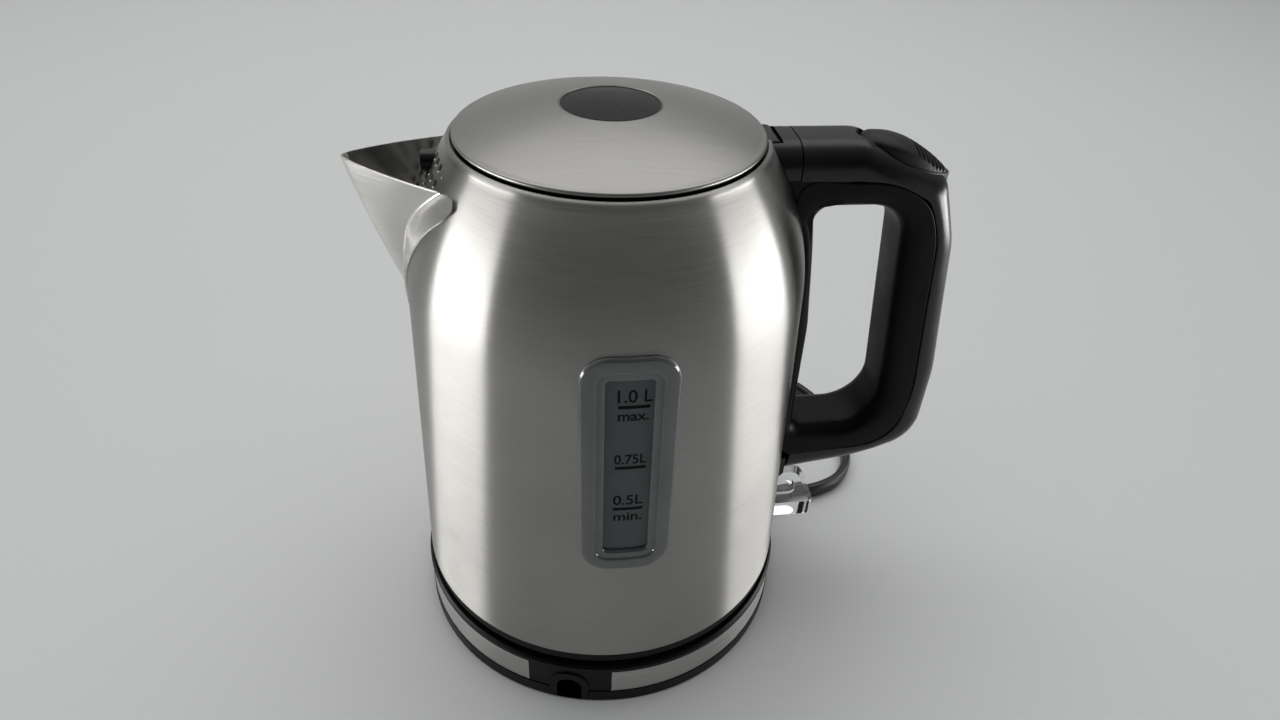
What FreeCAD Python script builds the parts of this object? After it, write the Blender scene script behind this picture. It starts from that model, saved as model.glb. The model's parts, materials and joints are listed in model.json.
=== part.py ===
import FreeCAD, Part
import math
import os

# A one-litre cordless kettle on its round power base, in millimetres.
# +Z is up and the origin is on the kettle's axis, on the table that the base stands on.
# The handle points along +X, the spout along -X and the water window along -Y.

# ---- driving dimensions: vessel --------------------------------------------------------
WALL = 0.6                     # steel sheet of the vessel
FOOT_R, FOOT_Z = 70.0, 26.0    # lower edge of the steel
CONE_R, CONE_Z = 65.86, 142.0  # where the straight cone ends and the shoulder begins
SHOULDER_R = 86.0              # radius of the shoulder's arc, seen from the side
MOUTH_Z = 188.6                # where the shoulder ends, just under the rolled rim
RIM_R, RIM_Z = 48.5, 190.2     # top edge of the steel
FLOOR_Z = 52.0                 # top of the heater plate, the floor under the water

# ---- driving dimensions: lid -----------------------------------------------------------
LID_R, LID_LIP_Z, LID_TOP_Z = 47.8, 190.8, 200.4
LID_SHEET = 0.8
BADGE_R = 15.3
LID_PIN = (50.2, 186.8)        # x and z of the hinge axis, which runs along Y

# ---- driving dimensions: spout ---------------------------------------------------------
SPOUT_SHEET = 0.7
SPOUT_TIP = (-80.2, 184.0)     # x and z of the pouring tip
SPOUT_END = (-47.8, 181.0)     # x and z where the rim of the spout meets the vessel
# height, keel's distance from the axis, half width where the sides meet the vessel
SPOUT_LEVELS = ((140.0, 66.6, 1.0), (150.0, 70.3, 3.2), (158.0, 73.0, 5.0), (165.0, 75.2, 7.6),
                (172.0, 77.2, 12.8), (178.0, 78.9, 18.6), (184.0, 80.3, 24.4), (190.0, 81.4, 29.0))

# ---- driving dimensions: handle --------------------------------------------------------
GRIP_HALF = 12.5               # half the handle's width
GRIP_ROUND = 8.0               # rounding of the handle's outer long edges
BORE_ROUND = 6.0               # rounding around the finger opening
ARM_TOP = 189.5                # top of the upper arm
BACKBONE_X = 70.4              # outer face of the strip that runs down the vessel

# ---- driving dimensions: power base ----------------------------------------------------
BASE_R, BASE_TOP = 71.2, 20.0
BAND_LOW, BAND_HIGH = 6.0, 17.2
DECK_Z = 18.0                  # the deck that the kettle stands on
NOTCH_ANGLES = (-105.0, 15.0, 135.0)
CORD_ANGLE = 15.0              # the notch that the cord leaves by
NOTCH_HALF_ANGLE = 12.3        # the gap in the steel band, each side of a notch
HUB_R, HUB_TOP = 14.0, 33.0

# ---- driving dimensions: cord ----------------------------------------------------------
CORD_D = 7.0
CORD_EXIT_R = 93.0             # end of the strain relief, from the axis
CORD_Z = 3.6
COIL_CENTRE = (45.0, 118.0)
COIL_R = 40.0
COIL_TURNS = 2 + 30.0 / 360.0
# the cord's line on the table, from the end of the strain relief to the coil
CORD_ROUTE = ((89.8, 24.1, CORD_Z), (104.0, 25.8, CORD_Z), (116.2, 31.0, CORD_Z),
              (124.0, 41.0, CORD_Z), (127.8, 54.0, CORD_Z), (128.6, 69.0, CORD_Z),
              (125.8, 85.0, CORD_Z), (118.6, 101.0, CORD_Z), (107.6, 115.0, CORD_Z),
              (94.6, 127.6, CORD_Z), (80.6, 139.4, CORD_Z), (65.0, 152.6, CORD_Z))
# from the top of the coil down to the plug
TAIL_ROUTE = ((45.0, 158.0, 17.6), (28.0, 157.6, 17.2), (11.0, 154.6, 14.6), (-5.0, 149.6, 11.6))
PLUG_Z = 11.6
PLUG_HEADING = 196.0           # direction the blades point, degrees from +X


def vec(x, y, z):
    """A point or direction in millimetres."""
    return FreeCAD.Vector(x, y, z)


X_AXIS, Z_AXIS = vec(1, 0, 0), vec(0, 0, 1)


def save(name, *solids):
    """Write one node. Several solids in one node stay separate pieces in a compound."""
    shape = solids[0] if len(solids) == 1 else Part.makeCompound(list(solids))
    assert shape.isValid(), name
    shape.exportStep("parts/" + name + ".step")
    print(name, "solids", len(shape.Solids), "volume cm3", round(shape.Volume / 1000, 3))


def box(x0, x1, y0, y1, z0, z1):
    """A box from its limits along each axis."""
    return Part.makeBox(x1 - x0, y1 - y0, z1 - z0, vec(x0, y0, z0))


def rod(radius, start, end):
    """A round bar between two points."""
    along = end - start
    return Part.makeCylinder(radius, along.Length, start, along)


def ring(r_in, r_out, z0, z1):
    """A flat washer about the kettle's axis."""
    outer = Part.makeCylinder(r_out, z1 - z0, vec(0, 0, z0))
    if r_in <= 0:
        return outer
    return outer.cut(Part.makeCylinder(r_in, z1 - z0 + 2, vec(0, 0, z0 - 1)))


def lathe(edges):
    """A solid of revolution about Z from a closed chain of edges in the XZ plane."""
    face = Part.Face(Part.Wire(Part.__sortEdges__(edges)))
    return face.revolve(vec(0, 0, 0), Z_AXIS, 360)


def polyline(points):
    """Straight edges through (r, z) points in the XZ plane."""
    corners = [vec(r, 0, z) for r, z in points]
    return [Part.makeLine(a, b) for a, b in zip(corners, corners[1:])]


def turned(points):
    """A solid of revolution from a closed outline of (r, z) corners."""
    return lathe(polyline(list(points) + [points[0]]))


def arc_xz(a, middle, b):
    """An arc through three (x, z) points."""
    return Part.Arc(vec(a[0], 0, a[1]), vec(middle[0], 0, middle[1]), vec(b[0], 0, b[1])).toShape()


def rounded_wire(corners, to_point):
    """A closed wire of straight runs and tangent arcs. corners is a list of (u, v, radius)."""
    ends = []
    count = len(corners)
    for i, (u, v, radius) in enumerate(corners):
        here = FreeCAD.Vector(u, v, 0)
        back = FreeCAD.Vector(corners[i - 1][0] - u, corners[i - 1][1] - v, 0).normalize()
        ahead_u, ahead_v, _ = corners[(i + 1) % count]
        ahead = FreeCAD.Vector(ahead_u - u, ahead_v - v, 0).normalize()
        half = back.getAngle(ahead) / 2
        if radius == 0:
            ends.append((here, here, here))
            continue
        cut = radius / math.tan(half)
        bisector = (back + ahead).normalize()
        middle = here + bisector * (radius / math.sin(half) - radius)
        ends.append((here + back * cut, middle, here + ahead * cut))
    edges = []
    for i, (start, middle, end) in enumerate(ends):
        if (start - end).Length > 1e-6:
            edges.append(Part.Arc(to_point(start), to_point(middle), to_point(end)).toShape())
        following = ends[(i + 1) % count][0]
        if (following - end).Length > 1e-6:
            edges.append(Part.makeLine(to_point(end), to_point(following)))
    return Part.Wire(edges)


def side_plate(corners, y0, y1):
    """A plate with a rounded outline of (x, z, radius) corners, between two Y limits."""
    wire = rounded_wire(corners, lambda p: vec(p.x, y0, p.y))
    return Part.Face(wire).extrude(vec(0, y1 - y0, 0))


def front_plate(corners, x0, x1):
    """A plate with a rounded outline of (y, z, radius) corners, between two X limits."""
    wire = rounded_wire(corners, lambda p: vec(x0, p.x, p.y))
    return Part.Face(wire).extrude(vec(x1 - x0, 0, 0))


def rectangle(half_u, v0, v1, radius):
    """The four corners of an upright rounded rectangle."""
    return [(-half_u, v0, radius), (half_u, v0, radius), (half_u, v1, radius), (-half_u, v1, radius)]


def turn_about_z(shape, degrees):
    """A copy of the shape, turned about the kettle's axis."""
    copy = shape.copy()
    copy.rotate(vec(0, 0, 0), Z_AXIS, degrees)
    return copy


# ---- the vessel's curve ----------------------------------------------------------------

CONE_SLOPE = (FOOT_R - CONE_R) / (CONE_Z - FOOT_Z)
CONE_ANGLE = math.atan(CONE_SLOPE)
ARC_X = CONE_R - SHOULDER_R * math.cos(CONE_ANGLE)
ARC_Z = CONE_Z - SHOULDER_R * math.sin(CONE_ANGLE)


def wall_r(z):
    """Outer radius of the steel at a height."""
    if z <= CONE_Z:
        return FOOT_R - CONE_SLOPE * (z - FOOT_Z)
    return ARC_X + math.sqrt(SHOULDER_R ** 2 - (z - ARC_Z) ** 2)


def vessel_edges(offset, z0, z1):
    """Edges of the wall's curve from z0 up to z1, moved outward by the offset."""
    middle = (CONE_Z + z1) / 2
    low = vec(wall_r(z0) + offset, 0, z0)
    bend = vec(CONE_R + offset, 0, CONE_Z)
    half = vec(wall_r(middle) + offset, 0, middle)
    top = vec(wall_r(z1) + offset, 0, z1)
    return [Part.makeLine(low, bend), Part.Arc(bend, half, top).toShape()]


def vessel_solid(offset, z0=FOOT_Z, z1=MOUTH_Z):
    """The full solid inside the wall's curve."""
    edges = vessel_edges(offset, z0, z1)
    low, top = edges[0].Vertexes[0].Point, edges[1].Vertexes[-1].Point
    edges += [Part.makeLine(top, vec(0, 0, z1)), Part.makeLine(vec(0, 0, z1), vec(0, 0, z0)),
              Part.makeLine(vec(0, 0, z0), low)]
    return lathe(edges)


# ---- spout -----------------------------------------------------------------------------

def spout_section(z, keel, half, inset):
    """A V-shaped section of the spout at one height: rounded keel, slightly bulging sides."""
    keel_x = -keel + 1.4 * inset
    nose = max(0.35, min(2.2, 0.35 * half)) - 0.3 * inset
    end_half = max(half - inset, 0.35)
    root_x = -math.sqrt(max(wall_r(min(z, MOUTH_Z)) ** 2 - half ** 2, 0.0))
    back_x = root_x + 7.0
    back_half = end_half + 7.0 * (end_half - nose) / (root_x + keel)
    bulge = 0.11 * end_half
    mid_x = (keel_x + nose + back_x) / 2
    mid_half = (nose + back_half) / 2 + bulge
    near = [vec(keel_x + nose, -nose, z), vec(mid_x, -mid_half, z), vec(back_x, -back_half, z)]
    far = [vec(p.x, -p.y, z) for p in near]
    edges = [Part.Arc(far[0], vec(keel_x, 0, z), near[0]).toShape(),
             Part.Arc(near[0], near[1], near[2]).toShape(),
             Part.makeLine(near[2], far[2]),
             Part.Arc(far[2], far[1], far[0]).toShape()]
    return Part.Wire(edges)


def spout_loft(inset):
    """The spout's V as a full solid, drawn in by the inset."""
    levels = SPOUT_LEVELS if inset == 0 else SPOUT_LEVELS[1:]
    return Part.makeLoft([spout_section(z, k, h, inset) for z, k, h in levels], True, False)


def flange_outline():
    """The leaf-shaped flange that is riveted flat on the vessel, seen along X."""
    half = [(0.0, 131.5), (4.6, 139.0), (9.6, 148.0), (17.0, 159.5), (24.2, 170.0), (29.8, 177.6)]
    corner = [(29.8, 177.6), (30.9, 180.4), (28.6, 182.4)]
    right = Part.BSplineCurve()
    right.interpolate([vec(-120, y, z) for y, z in half])
    left = Part.BSplineCurve()
    left.interpolate([vec(-120, -y, z) for y, z in half])
    edges = [right.toShape(), left.toShape()]
    for side in (1, -1):
        edges.append(Part.Arc(*[vec(-120, side * y, z) for y, z in corner]).toShape())
    edges.append(Part.makeLine(vec(-120, 28.6, 182.4), vec(-120, -28.6, 182.4)))
    return Part.Face(Part.Wire(Part.__sortEdges__(edges)))


def build_spout():
    """The beak and its flange, folded from one sheet and lying on the vessel."""
    body = vessel_solid(0.06)
    cavity = spout_loft(SPOUT_SHEET)
    beak = spout_loft(0).cut(cavity).cut(body)
    tip_x, tip_z = SPOUT_TIP
    end_x, end_z = SPOUT_END
    slope = (tip_z - end_z) / (end_x - tip_x)
    above = side_plate([(-100, tip_z + slope * 20, 0), (-30, end_z - slope * 18, 0),
                        (-30, 200, 0), (-100, 200, 0)], -40, 40)
    beak = beak.cut(above)
    leaf = flange_outline().extrude(vec(100, 0, 0))
    flange = vessel_solid(0.06 + SPOUT_SHEET).cut(body).common(leaf).cut(cavity)
    spout = beak.fuse(flange).removeSplitter()
    return max(spout.Solids, key=lambda s: s.Volume)


# ---- vessel ----------------------------------------------------------------------------

STRAINER_HOLE_R = 1.25
STRAINER_PITCH = 4.4
WINDOW_CUT = (11.4, 75.0, 148.6, 7.0)       # half width, low, high, corner radius
LEVER_NOTCH = (13.0, 38.5)                  # half width and top of the notch for the switch


def strainer_holes():
    """Rows of small round holes behind the spout, fewer towards its narrow foot."""
    holes = []
    row = 0
    z = 178.0
    while z > 152.0:
        reach = (z - 148.0) * 0.42
        shift = STRAINER_PITCH / 2 if row % 2 else 0.0
        y = -reach + (reach + shift) % STRAINER_PITCH
        while y <= reach:
            holes.append(Part.makeCylinder(STRAINER_HOLE_R, 40, vec(-90, y, z), X_AXIS))
            y += STRAINER_PITCH
        z -= STRAINER_PITCH * math.sin(math.radians(60))
        row += 1
    return holes


def build_body_shell():
    """The vessel's wall, from one deep-drawn sheet with a rolled rim."""
    mouth = vec(wall_r(MOUTH_Z), 0, MOUTH_Z)
    inner_mouth = vec(wall_r(MOUTH_Z) - WALL, 0, MOUTH_Z - 0.2)
    rim, inner_rim = vec(RIM_R, 0, RIM_Z), vec(RIM_R - 0.5, 0, RIM_Z - 0.5)
    half = (CONE_Z + MOUTH_Z) / 2
    edges = vessel_edges(0, FOOT_Z, MOUTH_Z)
    edges += [Part.Arc(mouth, vec(wall_r(MOUTH_Z) - 0.55, 0, MOUTH_Z + 0.95), rim).toShape(),
              Part.makeLine(rim, inner_rim),
              Part.Arc(inner_rim, vec(wall_r(MOUTH_Z) - 1.1, 0, MOUTH_Z + 0.45), inner_mouth).toShape(),
              Part.Arc(inner_mouth, vec(wall_r(half) - WALL, 0, half), vec(CONE_R - WALL, 0, CONE_Z)).toShape(),
              Part.makeLine(vec(CONE_R - WALL, 0, CONE_Z), vec(FOOT_R - WALL, 0, FOOT_Z)),
              Part.makeLine(vec(FOOT_R - WALL, 0, FOOT_Z), vec(FOOT_R, 0, FOOT_Z))]
    shell = lathe(edges)
    half_w, low, high, corner = WINDOW_CUT
    wire = rounded_wire(rectangle(half_w, low, high, corner), lambda p: vec(p.x, -90, p.y))
    window = Part.Face(wire).extrude(vec(0, 60, 0))
    notch_half, notch_top = LEVER_NOTCH
    cuts = strainer_holes()
    cuts += [window,
             rod(3.4, vec(-70, 0, 182.0), vec(-40, 0, 182.0)),
             box(40, 90, -notch_half, notch_half, FOOT_Z - 1, notch_top),
             box(40, 60, -10.6, 10.6, 183.0, 200),
             rod(3.2, vec(50, 0, 172.0), vec(70, 0, 172.0))]
    cuts += [rod(2.2, vec(50, y, z), vec(80, y, z)) for y in (-7.0, 7.0) for z in (66.0, 160.0)]
    return shell.cut(cuts)


def build_mouth_ring():
    """A plastic ring under the rim that the lid sits in, open at the hinge."""
    outline = ((46.6, 184.0), (49.4, 184.0), (49.4, 185.2), (47.8, 185.2), (47.8, 189.4), (46.6, 189.4))
    return turned(outline).cut(box(30, 60, -10.6, 10.6, 180, 200))


# ---- water window ----------------------------------------------------------------------

WINDOW_STEPS = ((14.9, 71.2, 152.4, 9.0, 1.3),    # half width, low, high, corner, stands proud
                (9.7, 77.6, 147.8, 5.5, 0.7),
                (7.0, 80.4, 145.0, 3.0, -0.6))


def window_prism(half_w, low, high, corner):
    """The window's rounded rectangle, pushed back along Y from outside the vessel."""
    wire = rounded_wire(rectangle(half_w, low, high, corner), lambda p: vec(p.x, -90, p.y))
    return Part.Face(wire).extrude(vec(0, 60, 0))


def build_sight_window():
    """One clear moulding: a rim on the steel, a stepped pane and a wall behind the cut-out."""
    (rim_w, rim_low, rim_high, rim_corner, rim_proud) = WINDOW_STEPS[0]
    (step_w, step_low, step_high, step_corner, step_proud) = WINDOW_STEPS[1]
    (pane_w, pane_low, pane_high, pane_corner, pane_proud) = WINDOW_STEPS[2]
    cut_w, cut_low, cut_high, cut_corner = WINDOW_CUT
    rim = vessel_solid(rim_proud).cut(vessel_solid(0.05))
    rim = rim.common(window_prism(rim_w, rim_low, rim_high, rim_corner))
    plug = vessel_solid(rim_proud).cut(vessel_solid(-3.2))
    plug = plug.common(window_prism(cut_w - 0.2, cut_low + 0.2, cut_high - 0.2, cut_corner))
    pane = rim.fuse(plug)
    pane = pane.cut(window_prism(step_w, step_low, step_high, step_corner).cut(vessel_solid(step_proud)))
    pane = pane.cut(window_prism(pane_w, pane_low, pane_high, pane_corner).cut(vessel_solid(pane_proud)))
    return max(pane.removeSplitter().Solids, key=lambda s: s.Volume)


def build_window_gasket():
    """A rubber ring that is squeezed between the clear moulding's back and the steel."""
    cut_w, cut_low, cut_high, cut_corner = WINDOW_CUT
    outer = window_prism(cut_w + 2.4, cut_low - 2.4, cut_high + 2.4, cut_corner + 2)
    inner = window_prism(cut_w - 0.1, cut_low + 0.1, cut_high - 0.1, cut_corner)
    return vessel_solid(-WALL - 0.05).cut(vessel_solid(-WALL - 1.6)).common(outer).cut(inner)


def build_window_clamp():
    """The frame inside the vessel that the window is fixed to."""
    cut_w, cut_low, cut_high, cut_corner = WINDOW_CUT
    outer = window_prism(cut_w + 3.2, cut_low - 3.2, cut_high + 3.2, cut_corner + 3)
    inner = window_prism(cut_w - 0.1, cut_low + 0.1, cut_high - 0.1, cut_corner)
    return vessel_solid(-WALL - 1.7).cut(vessel_solid(-WALL - 3.4)).common(outer).cut(inner)


# ---- strainer behind the spout ---------------------------------------------------------

def build_filter_frame():
    """The scale filter's frame, with the round peg that holds it in the wall."""
    half_w, low, high = 16.0, 150.0, 180.0
    band = vessel_solid(-WALL - 0.3).cut(vessel_solid(-WALL - 2.3))
    frame = band.common(front_plate(rectangle(half_w, low, high + 6.0, 3.0), -90, -20))
    frame = frame.cut(front_plate(rectangle(half_w - 2.4, low + 2.4, high - 4.0, 2.0), -90, -20))
    peg = rod(3.2, vec(-57.4, 0, 182.0), vec(-52.2, 0, 182.0))
    return frame.fuse(peg).removeSplitter()


def build_filter_mesh():
    """The fine mesh in the filter's frame, as one thin sheet."""
    sheet = vessel_solid(-WALL - 1.1).cut(vessel_solid(-WALL - 1.4))
    return sheet.common(front_plate(rectangle(13.5, 152.5, 175.9, 1.9), -90, -20))


# ---- heater and underside --------------------------------------------------------------

STEAM_TUBE_X = 58.0
SWITCH_PIVOT = (57.5, 31.5)    # x and z of the switch lever's pin, along Y


def build_heater_plate():
    """The steel floor with its turned-down edge."""
    edge = wall_r(FLOOR_Z) - WALL - 0.1
    plate = turned(((0, FLOOR_Z), (edge, FLOOR_Z), (edge, FLOOR_Z - 6), (edge - 1.0, FLOOR_Z - 6),
                    (edge - 1.0, FLOOR_Z - 1.0), (0, FLOOR_Z - 1.0)))
    return plate.cut(rod(4.1, vec(STEAM_TUBE_X, 0, FLOOR_Z - 8), vec(STEAM_TUBE_X, 0, FLOOR_Z + 2)))


def build_heat_spreader():
    """An aluminium disc that carries the heat from the element to the floor."""
    return ring(0, 48.0, FLOOR_Z - 3.1, FLOOR_Z - 1.1)


def build_heating_element():
    """The sheathed element under the spreader: most of a ring, with two cold tails."""
    element_r, tube_r, z = 40.0, 3.4, FLOOR_Z - 6.6
    path = Part.Arc(vec(element_r * math.cos(math.radians(20)), element_r * math.sin(math.radians(20)), z),
                    vec(-element_r, 0, z),
                    vec(element_r * math.cos(math.radians(20)), -element_r * math.sin(math.radians(20)), z))
    wire = Part.Wire([path.toShape()])
    start = wire.Edges[0].Vertexes[0].Point
    circle = Part.Wire([Part.makeCircle(tube_r, start, wire.Edges[0].tangentAt(wire.Edges[0].FirstParameter))])
    loop = wire.makePipeShell([circle], True, True)
    tails = []
    for side in (-1, 1):
        end = vec(element_r * math.cos(math.radians(20)), side * element_r * math.sin(math.radians(20)), z)
        tails.append(rod(1.2, end - vec(0, 0, 3.0), end - vec(0, 0, 9.0)))
    return loop.fuse(tails).removeSplitter()


def build_steam_tube():
    """Carries steam from under the lid down to the switch's bimetal disc."""
    low, high = vec(STEAM_TUBE_X, 0, 44.0), vec(STEAM_TUBE_X, 0, 160.0)
    return rod(3.9, low, high).cut(rod(3.3, low - vec(0, 0, 1), high + vec(0, 0, 1)))


def build_underside_cover():
    """The black plastic bottom, with the foot ring that stands on the base's deck."""
    outline = ((26.0, 22.4), (58.0, 22.4), (58.0, 18.3), (62.6, 18.3), (62.6, 22.0), (69.2, 22.0),
               (69.6, 22.4), (69.6, 25.9), (66.4, 25.9), (66.4, 24.4), (26.0, 24.4))
    cover = turned(outline)
    return cover.cut(box(55, 80, -12.6, 12.6, 24.9, 30))


def build_socket_unit():
    """The kettle's half of the connector: a cup that drops over the hub on the base."""
    cup = turned(((14.8, 25.4), (18.4, 25.4), (18.4, 22.6), (25.6, 22.6), (25.6, 26.4), (20.4, 26.4),
                  (20.4, 37.0), (0, 37.0), (0, 34.8), (14.8, 34.8)))
    return cup.cut(Part.makeCylinder(3.0, 6, vec(0, 0, 33)))


def build_socket_contacts():
    """The kettle's brass contacts: a centre pin and two rings in the cup."""
    pin = rod(1.3, vec(0, 0, 26.5), vec(0, 0, 39.0))
    collar = ring(0, 2.9, 35.0, 39.0)
    ring_a = ring(13.2, 14.7, 33.4, 34.7)
    return [pin.fuse(collar), ring_a]


def build_socket_collar():
    """The round lead-in at the cup's mouth, the same at every angle of the kettle."""
    return turned(((14.6, 21.2), (17.6, 20.6), (18.1, 21.2), (18.1, 25.1), (14.6, 25.1)))


def build_control_unit():
    """The thermostat block on top of the socket."""
    block = ring(0, 24.0, 37.2, 43.0)
    arm = box(20, 46, -9, 9, 37.2, 41.0)
    return block.fuse(arm).removeSplitter().cut(ring(0, 3.0, 36, 39.2))


def build_switch_housing():
    """The box behind the lever that holds its pin and the steam-sensing disc."""
    px, pz = SWITCH_PIVOT
    shell = box(49, 64.5, -16.5, 16.5, 25.2, 43.4).cut(box(47, 66, -12.0, 12.0, 26.4, 41.4))
    shell = shell.cut(rod(1.6, vec(px, -20, pz), vec(px, 20, pz)))
    return shell.cut(rod(4.1, vec(STEAM_TUBE_X, 0, 40), vec(STEAM_TUBE_X, 0, 46)))


def build_bimetal_disc():
    """The domed disc that snaps over when steam reaches it."""
    dome = ring(0, 6.0, 39.6, 40.2)
    tongue = box(46.5, 56.0, -2.0, 2.0, 40.2, 40.8)
    dome.translate(vec(54.0, 0, 0))
    return dome.fuse(tongue).removeSplitter()


def build_switch_bezel():
    """The black frame that fills the notch in the steel around the lever."""
    notch_half, notch_top = LEVER_NOTCH
    frame = vessel_solid(0.5).cut(vessel_solid(-3.0))
    frame = frame.common(box(40, 90, -notch_half + 0.15, notch_half - 0.15, FOOT_Z, notch_top - 0.15))
    return frame.cut(box(40, 90, -11.6, 11.6, FOOT_Z - 1, 36.4))


def build_switch_lever():
    """The clear paddle of the on-off switch, with a moulded U-shaped dish on top."""
    px, pz = SWITCH_PIVOT
    wire = rounded_wire([(54.0, -11.0, 1.5), (86.8, -11.0, 3.4), (86.8, 11.0, 3.4), (54.0, 11.0, 1.5)],
                        lambda p: vec(p.x, p.y, 28.0))
    paddle = Part.Face(wire).extrude(vec(0, 0, 7.0))
    dish = rounded_wire([(62.0, -4.6, 0), (81.6, -4.6, 4.5), (81.6, 4.6, 4.5), (62.0, 4.6, 0)],
                        lambda p: vec(p.x, p.y, 32.6))
    paddle = paddle.cut(Part.Face(dish).extrude(vec(0, 0, 5)))
    return paddle.cut(rod(1.56, vec(px, -20, pz), vec(px, 20, pz)))


# ---- handle ----------------------------------------------------------------------------

HANDLE_OUTLINE = ((58.8, ARM_TOP, 0), (80.0, ARM_TOP, 12), (110.6, 177.0, 9), (118.2, 155.0, 30),
                  (124.6, 100.0, 60), (124.4, 66.0, 17), (98.0, 56.8, 30), (58.8, 50.6, 0))
HANDLE_OPENING = ((BACKBONE_X + 0.4, 168.0, 4), (96.8, 168.0, 13), (105.6, 76.0, 15),
                  (BACKBONE_X + 1.4, 76.0, 3))
# the joint between the handle's outer and inner shell, midway through the grip
HANDLE_SEAM = ((50.0, 178.6, 0), (90.0, 177.4, 30), (104.0, 170.0, 14), (109.4, 156.0, 30),
               (115.8, 92.0, 40), (112.6, 67.0, 16), (92.0, 65.6, 20), (50.0, 61.6, 0))
SEAM_GAP = 0.3


def round_long_edges(solid, half, rounding):
    """Round the edges that run along the two side faces, except at the handle's root."""
    long_edges = []
    for edge in solid.Edges:
        middle = edge.valueAt((edge.FirstParameter + edge.LastParameter) / 2)
        if abs(abs(middle.y) - half) < 1e-6 and middle.x > 59.0:
            long_edges.append(edge)
    return solid.makeFillet(rounding, long_edges)


def handle_solid(shrink, half, roundings):
    """The whole D of the handle, made smaller all round by shrink."""
    outer = rounded_wire(HANDLE_OUTLINE, lambda p: vec(p.x, -half, p.y))
    hole = rounded_wire(HANDLE_OPENING, lambda p: vec(p.x, -half, p.y))
    if shrink:
        outer = outer.makeOffset2D(-shrink)
        hole = hole.makeOffset2D(shrink)
    solid = Part.Face(outer).extrude(vec(0, 2 * half, 0))
    bore = Part.Face(hole).extrude(vec(0, 2 * half, 0))
    if not roundings:
        return solid.cut(bore)
    outer_rounding, bore_rounding = roundings
    solid = round_long_edges(solid, half, outer_rounding)
    solid = solid.cut(bore)
    mouth = []
    for edge in solid.Edges:
        middle = edge.valueAt((edge.FirstParameter + edge.LastParameter) / 2)
        on_bore = bore.distToShape(Part.Vertex(middle))[0] < 1e-4
        if on_bore and abs(abs(middle.y) - half) < 1e-6:
            mouth.append(edge)
    return solid.makeFillet(bore_rounding, mouth)


def seam_prism(grow, half):
    """Everything inside the seam line, grown outward by half the seam's gap."""
    wire = rounded_wire(HANDLE_SEAM, lambda p: vec(p.x, -half, p.y))
    if grow:
        wire = wire.makeOffset2D(grow)
    return Part.Face(wire).extrude(vec(0, 2 * half, 0))


BUTTON_CENTRE_X, BUTTON_HALF_LONG, BUTTON_HALF_WIDE = 95.6, 16.2, 8.6
RIB_COUNT, RIB_FIRST_X, RIB_PITCH = 7, 101.2, 1.45
BUTTON_PIVOT = (94.0, 181.6)   # x and z of the button's pin, along Y
BUTTON_WEB = (90.0, 97.0)      # front and rear of the button's middle web
ROD_REACH = 6.3                # how far below its pin the button pushes the rod


def button_oval(grow, z0, z1):
    """An upright oval cylinder around the button."""
    ellipse = Part.Ellipse(vec(BUTTON_CENTRE_X, 0, z0), BUTTON_HALF_LONG + grow, BUTTON_HALF_WIDE + grow)
    return Part.Face(Part.Wire([ellipse.toShape()])).extrude(vec(0, 0, z1 - z0))


def build_handle():
    """The outer and inner shells of the handle, hollow and joined along the seam."""
    solid = handle_solid(0, GRIP_HALF, (GRIP_ROUND, BORE_ROUND))
    hollow = handle_solid(3.0, GRIP_HALF - 4.0, None)
    wide = GRIP_HALF + 5
    root_cut = box(40, BACKBONE_X + 0.4, -wide, wide, 40, 178.4)
    solid = solid.cut(root_cut)
    seat = button_oval(1.2, 150, 210).common(side_plate(
        [(70, 186.9, 0), (84.0, 182.6, 6), (110.6, 172.6, 0), (116, 171.0, 0), (116, 205, 0), (70, 205, 0)],
        -20, 20))
    deck = side_plate([(78.5, 184.2, 0), (84.0, 181.0, 6), (110.6, 171.4, 0), (110.6, 166, 0), (78.5, 166, 0)],
                      -GRIP_HALF + 3.2, GRIP_HALF - 3.2)
    px, pz = BUTTON_PIVOT
    web_front, web_rear = BUTTON_WEB
    slot = box(web_front - 1.3, web_rear + 1.0, -2.9, 2.9, 168.0, 190.0)
    ears = [box(px - 3.0, px + 3.0, min(side * 2.9, side * 5.3), max(side * 2.9, side * 5.3), 176.0, pz + 1.8)
            for side in (-1, 1)]
    pin_hole = rod(1.25, vec(px, -8.4, pz), vec(px, 8.4, pz))
    rod_hole = box(56.0, 63.0, -2.9, 2.9, 179.7, 183.1)
    cover = solid.cut(seam_prism(SEAM_GAP / 2, wide)).cut(hollow)
    cover = cover.fuse(deck.common(solid)).cut(seat).fuse(ears).cut([slot, pin_hole, rod_hole])
    cover = cover.cut(seam_prism(SEAM_GAP / 2, wide))
    grip = solid.common(seam_prism(-SEAM_GAP / 2, wide)).cut(hollow)
    cover = max(cover.removeSplitter().Solids, key=lambda s: s.Volume)
    grip = max(grip.removeSplitter().Solids, key=lambda s: s.Volume)
    return cover, grip


def build_backbone():
    """The strip that runs down the steel and carries both arms of the handle."""
    plate = side_plate([(40, 51.6, 0), (BACKBONE_X + 0.2, 51.6, 2.0), (BACKBONE_X + 0.2, 178.2, 0),
                        (40, 178.2, 0)], -GRIP_HALF, GRIP_HALF)
    strip = plate.cut(vessel_solid(0.08))
    holes = [rod(1.7, vec(50, y, z), vec(69.4, y, z)) for y in (-7.0, 7.0) for z in (66.0, 160.0)]
    return max(strip.cut(holes).Solids, key=lambda s: s.Volume)


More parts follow.
